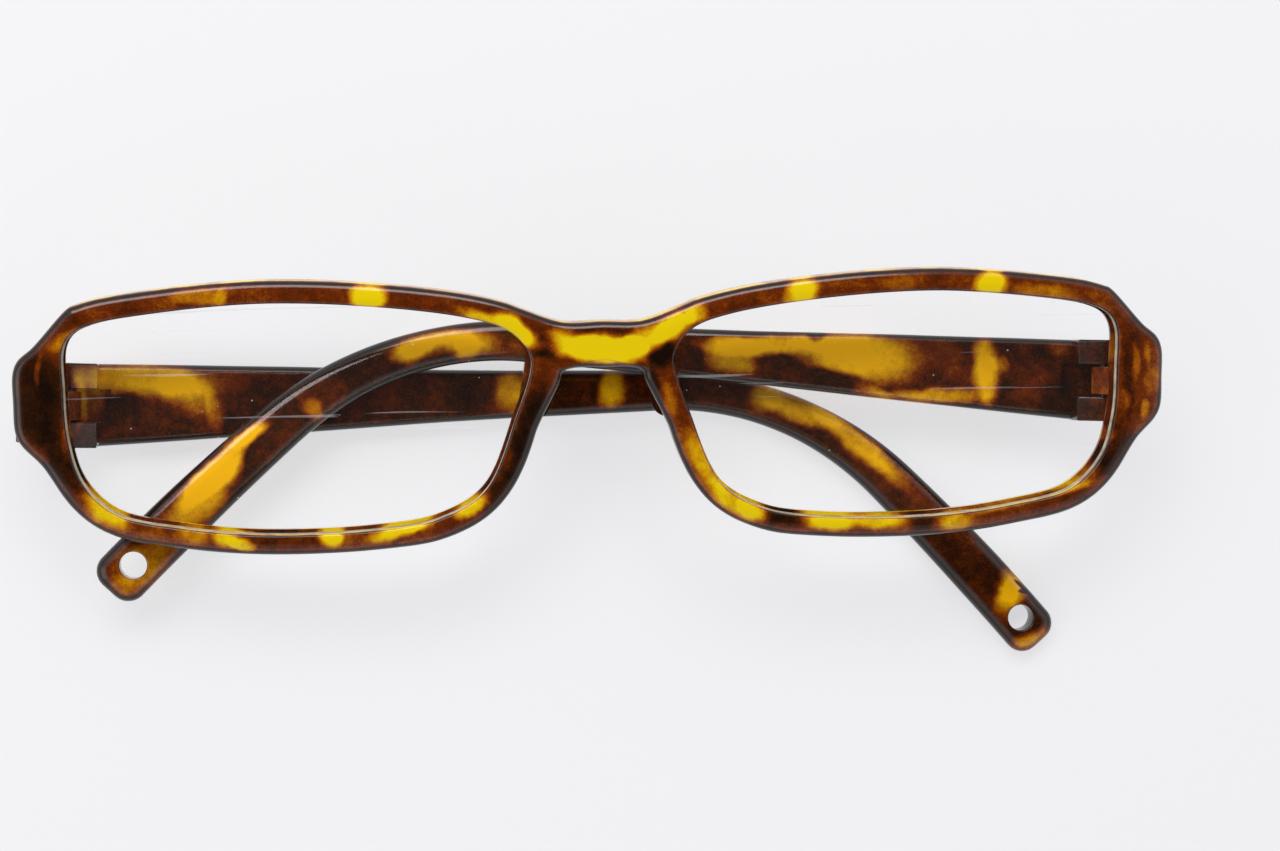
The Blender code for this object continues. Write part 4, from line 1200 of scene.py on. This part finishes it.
def build_table():
    """A wide pale table under the glasses, partly clear over the pale world below it."""
    dim_share = 0.985
    table = tuple(bpy.context.scene.glasses_finish.table)
    dim = [c * dim_share for c in table]
    n = Nodes(bpy.data.materials.new("table_surface"))
    n.shade("Base Color", n.ramp(n.noise(n.where(), 3.0), ((0.3, dim), (0.7, table))))
    n.shade("Roughness", 0.9)
    n.shade("Specular IOR Level", 0.1)
    seen = n.new("ShaderNodeLightPath").outputs
    mirrored = n.math("MAXIMUM", seen["Is Glossy Ray"], seen["Is Transmission Ray"])
    pale = n.new("ShaderNodeEmission", {"Color": (*table, 1.0), "Strength": TABLE_GLOW})
    clear = n.new("ShaderNodeBsdfTransparent")
    shown = n.shader
    for rays, other in ((mirrored, pale), (seen["Is Camera Ray"], clear)):
        share = n.math("MULTIPLY", rays, TABLE_CLEARNESS)
        shown = n.new("ShaderNodeMixShader", {0: share, 1: shown.outputs[0], 2: other.outputs[0]})
    n.put(shown.outputs[0], n.tree.nodes["Material Output"].inputs["Surface"])
    corners = [(x * TABLE_HALF, y * TABLE_HALF, -TABLE_DROP)
               for x, y in ((-1, -1), (1, -1), (1, 1), (-1, 1))]
    mesh = bpy.data.meshes.new("table")
    mesh.from_pydata(corners, [], [(0, 1, 2, 3)])
    mesh.materials.append(n.owner)
    table_object = bpy.data.objects.new("table", mesh)
    bpy.context.scene.collection.objects.link(table_object)


def build_lights():
    """Sky light that is dim overhead, over a pale lower half, and two soft lamps."""
    n = Nodes(bpy.data.worlds.new("studio"), "Background")
    way = n.new("ShaderNodeTexCoord").outputs["Generated"]
    height = n.spread(n.part(way, "Z"), 0.0, 1.0, -1.0, 1.0)
    sky = [((place + 1) / 2, (level, level, SKY_BLUE * level)) for place, level in SKY_STOPS]
    n.shade("Color", n.ramp(height, sky))
    n.shade("Strength", SKY_STRENGTH)
    bpy.context.scene.world = n.owner
    for name, place, size, power in LAMPS:
        data = bpy.data.lights.new(name, "AREA")
        data.shape = "RECTANGLE"
        data.size, data.size_y = size
        data.energy = power
        lamp = bpy.data.objects.new(name, data)
        lamp.location = place
        lamp.rotation_euler = (-Vector(place)).to_track_quat("-Z", "Y").to_euler()
        bpy.context.scene.collection.objects.link(lamp)


def build_camera():
    """The camera at the photograph's place and angle, nearly straight above."""
    data = bpy.data.cameras.new("camera")
    data.lens = CAMERA_LENS
    data.sensor_width = CAMERA_SENSOR
    data.clip_start = 0.01
    data.dof.use_dof = False
    camera = bpy.data.objects.new("camera", data)
    camera.location = CAMERA_PLACE
    camera.rotation_euler = [math.radians(degrees) for degrees in CAMERA_TURN]
    bpy.context.scene.collection.objects.link(camera)
    bpy.context.scene.camera = camera
    bpy.context.scene.view_settings.view_transform = "Standard"


# ---------------------------------------------------------------- operators

def settings(context):
    """The scene's sizes of the front, the lenses and the arms."""
    scene = context.scene
    return scene.glasses_front, scene.glasses_lens, scene.glasses_arm


class GLASSES_OT_front(bpy.types.Operator):
    """Builds the rims and bridge and the front's share of each hinge"""
    bl_idname = "glasses.front"
    bl_label = "Front"

    def execute(self, context):
        p, lens, arm = settings(context)
        turn, place = front_matrix(p)
        base = (tuple(place), (p.tilt, -front_roll(), 0.0))
        shell = tortoiseshell("tortoiseshell_front", FRONT_WINDOWS, GROUND["front"],
                              context.scene.glasses_finish.yellow, base=base,
                              axis=tuple(turn[:, 2]), painted_light=FRONT_PAINTED_LIGHT)
        rims = dressed(build_front(p, lens), shell, "front")
        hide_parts("front_frame")
        for side, word in SIDES:
            seat = build_hinge_seat(p, arm, side, "hinge_seat_" + word)
            dressed(seat, hinge_plastic(), "front")
        return {"FINISHED"}


class GLASSES_OT_lenses(bpy.types.Operator):
    """Builds the two lenses with their pale ground edges"""
    bl_idname = "glasses.lenses"
    bl_label = "Lenses"

    def execute(self, context):
        p, lens, _arm = settings(context)
        clear = lens_clear()
        pale = lens_edge_finish()
        for side, word in SIDES:
            plate = build_lens(p, lens, side, "clear_lens_" + word)
            dressed(plate, clear, "front")
            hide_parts("lens_" + word)
            edge = build_lens_edge(p, lens, side, "lens_edge_" + word)
            dressed(edge, pale, "front")
        return {"FINISHED"}


class GLASSES_OT_pads(bpy.types.Operator):
    """Builds the two nose pads behind the bridge's ends"""
    bl_idname = "glasses.pads"
    bl_label = "Nose pads"

    def execute(self, context):
        p, lens, _arm = settings(context)
        shell = tortoiseshell("tortoiseshell_pads", PAD_WINDOWS, GROUND["pad"],
                              context.scene.glasses_finish.gold, seed=0.07)
        for side, word in SIDES:
            pad = build_pad(p, lens, side, "soft_pad_" + word)
            dressed(pad, shell, "front")
            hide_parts("nose_pad_" + word)
        return {"FINISHED"}


class GLASSES_OT_arms(bpy.types.Operator):
    """Builds the two arms with their hinge ears, cord holes and slots"""
    bl_idname = "glasses.arms"
    bl_label = "Arms"

    def execute(self, context):
        _p, _lens, arm = settings(context)
        gold = context.scene.glasses_finish.gold
        for side, word, pivot, windows, seed in (
                (1, "left", LEFT_PIVOT, LEFT_ARM_WINDOWS, 0.13),
                (-1, "right", RIGHT_PIVOT, RIGHT_ARM_WINDOWS, 0.31)):
            x, y = EJECTOR_PLACE[word]
            mark = (x * MM, y * MM, pivot[2] - arm.outer + arm.tip_thickness)
            shell = tortoiseshell("tortoiseshell_arm_" + word, windows, GROUND["arm"], gold,
                                  seed=seed, mark=mark, painted_light=ARM_PAINTED_LIGHT, deepest=0.0)
            body = word + "_temple"
            made = build_arm(arm, side, pivot, "arm_" + word)
            dressed(made, shell, body)
            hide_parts("temple_" + word)
            ears = build_ears(arm, side, pivot, "hinge_ears_" + word)
            dressed(ears, shell, body)
        return {"FINISHED"}


class GLASSES_OT_pins(bpy.types.Operator):
    """Finishes the two hinge pins, which keep their fixed shape"""
    bl_idname = "glasses.pins"
    bl_label = "Hinge pins"

    def execute(self, context):
        finish = pin_finish()
        for _side, word in SIDES:
            data = frame["nodes"]["hinge_pin_" + word].data
            data.materials.clear()
            data.materials.append(finish)
        return {"FINISHED"}


class GLASSES_OT_stage(bpy.types.Operator):
    """Sets the pale table, the soft light and the camera"""
    bl_idname = "glasses.stage"
    bl_label = "Stage"

    def execute(self, context):
        build_table()
        build_lights()
        build_camera()
        return {"FINISHED"}


class GLASSES_PT_panel(bpy.types.Panel):
    """Lists the pieces of the glasses and their sizes"""
    bl_idname = "GLASSES_PT_panel"
    bl_label = "Reading glasses"
    bl_space_type = "VIEW_3D"
    bl_region_type = "UI"
    bl_category = "Glasses"

    def draw(self, context):
        for operator in OPERATORS:
            self.layout.operator(operator.bl_idname)
        for name in GROUPS:
            box = self.layout.box()
            group = getattr(context.scene, name)
            for key in group.__annotations__:
                box.prop(group, key)


GROUPS = {
    "glasses_front": GLASSES_PG_front, "glasses_lens": GLASSES_PG_lens,
    "glasses_arm": GLASSES_PG_arm, "glasses_finish": GLASSES_PG_finish,
}
OPERATORS = (GLASSES_OT_stage, GLASSES_OT_front, GLASSES_OT_lenses, GLASSES_OT_pads,
             GLASSES_OT_arms, GLASSES_OT_pins)


def register():
    """Adds the sizes, the operators and the panel to Blender."""
    for group in GROUPS.values():
        bpy.utils.register_class(group)
    for name, group in GROUPS.items():
        setattr(bpy.types.Scene, name, bpy.props.PointerProperty(type=group))
    for operator in OPERATORS:
        bpy.utils.register_class(operator)
    bpy.utils.register_class(GLASSES_PT_panel)


def unregister():
    """Takes them out again, in the opposite order."""
    bpy.utils.unregister_class(GLASSES_PT_panel)
    for operator in reversed(OPERATORS):
        bpy.utils.unregister_class(operator)
    for name in GROUPS:
        delattr(bpy.types.Scene, name)
    for group in reversed(list(GROUPS.values())):
        bpy.utils.unregister_class(group)


def main():
    """Registers the add-on, then builds the stage and every piece."""
    register()
    bpy.ops.glasses.stage()
    bpy.ops.glasses.front()
    bpy.ops.glasses.lenses()
    bpy.ops.glasses.pads()
    bpy.ops.glasses.arms()
    bpy.ops.glasses.pins()


if __name__ == "__main__":
    main()
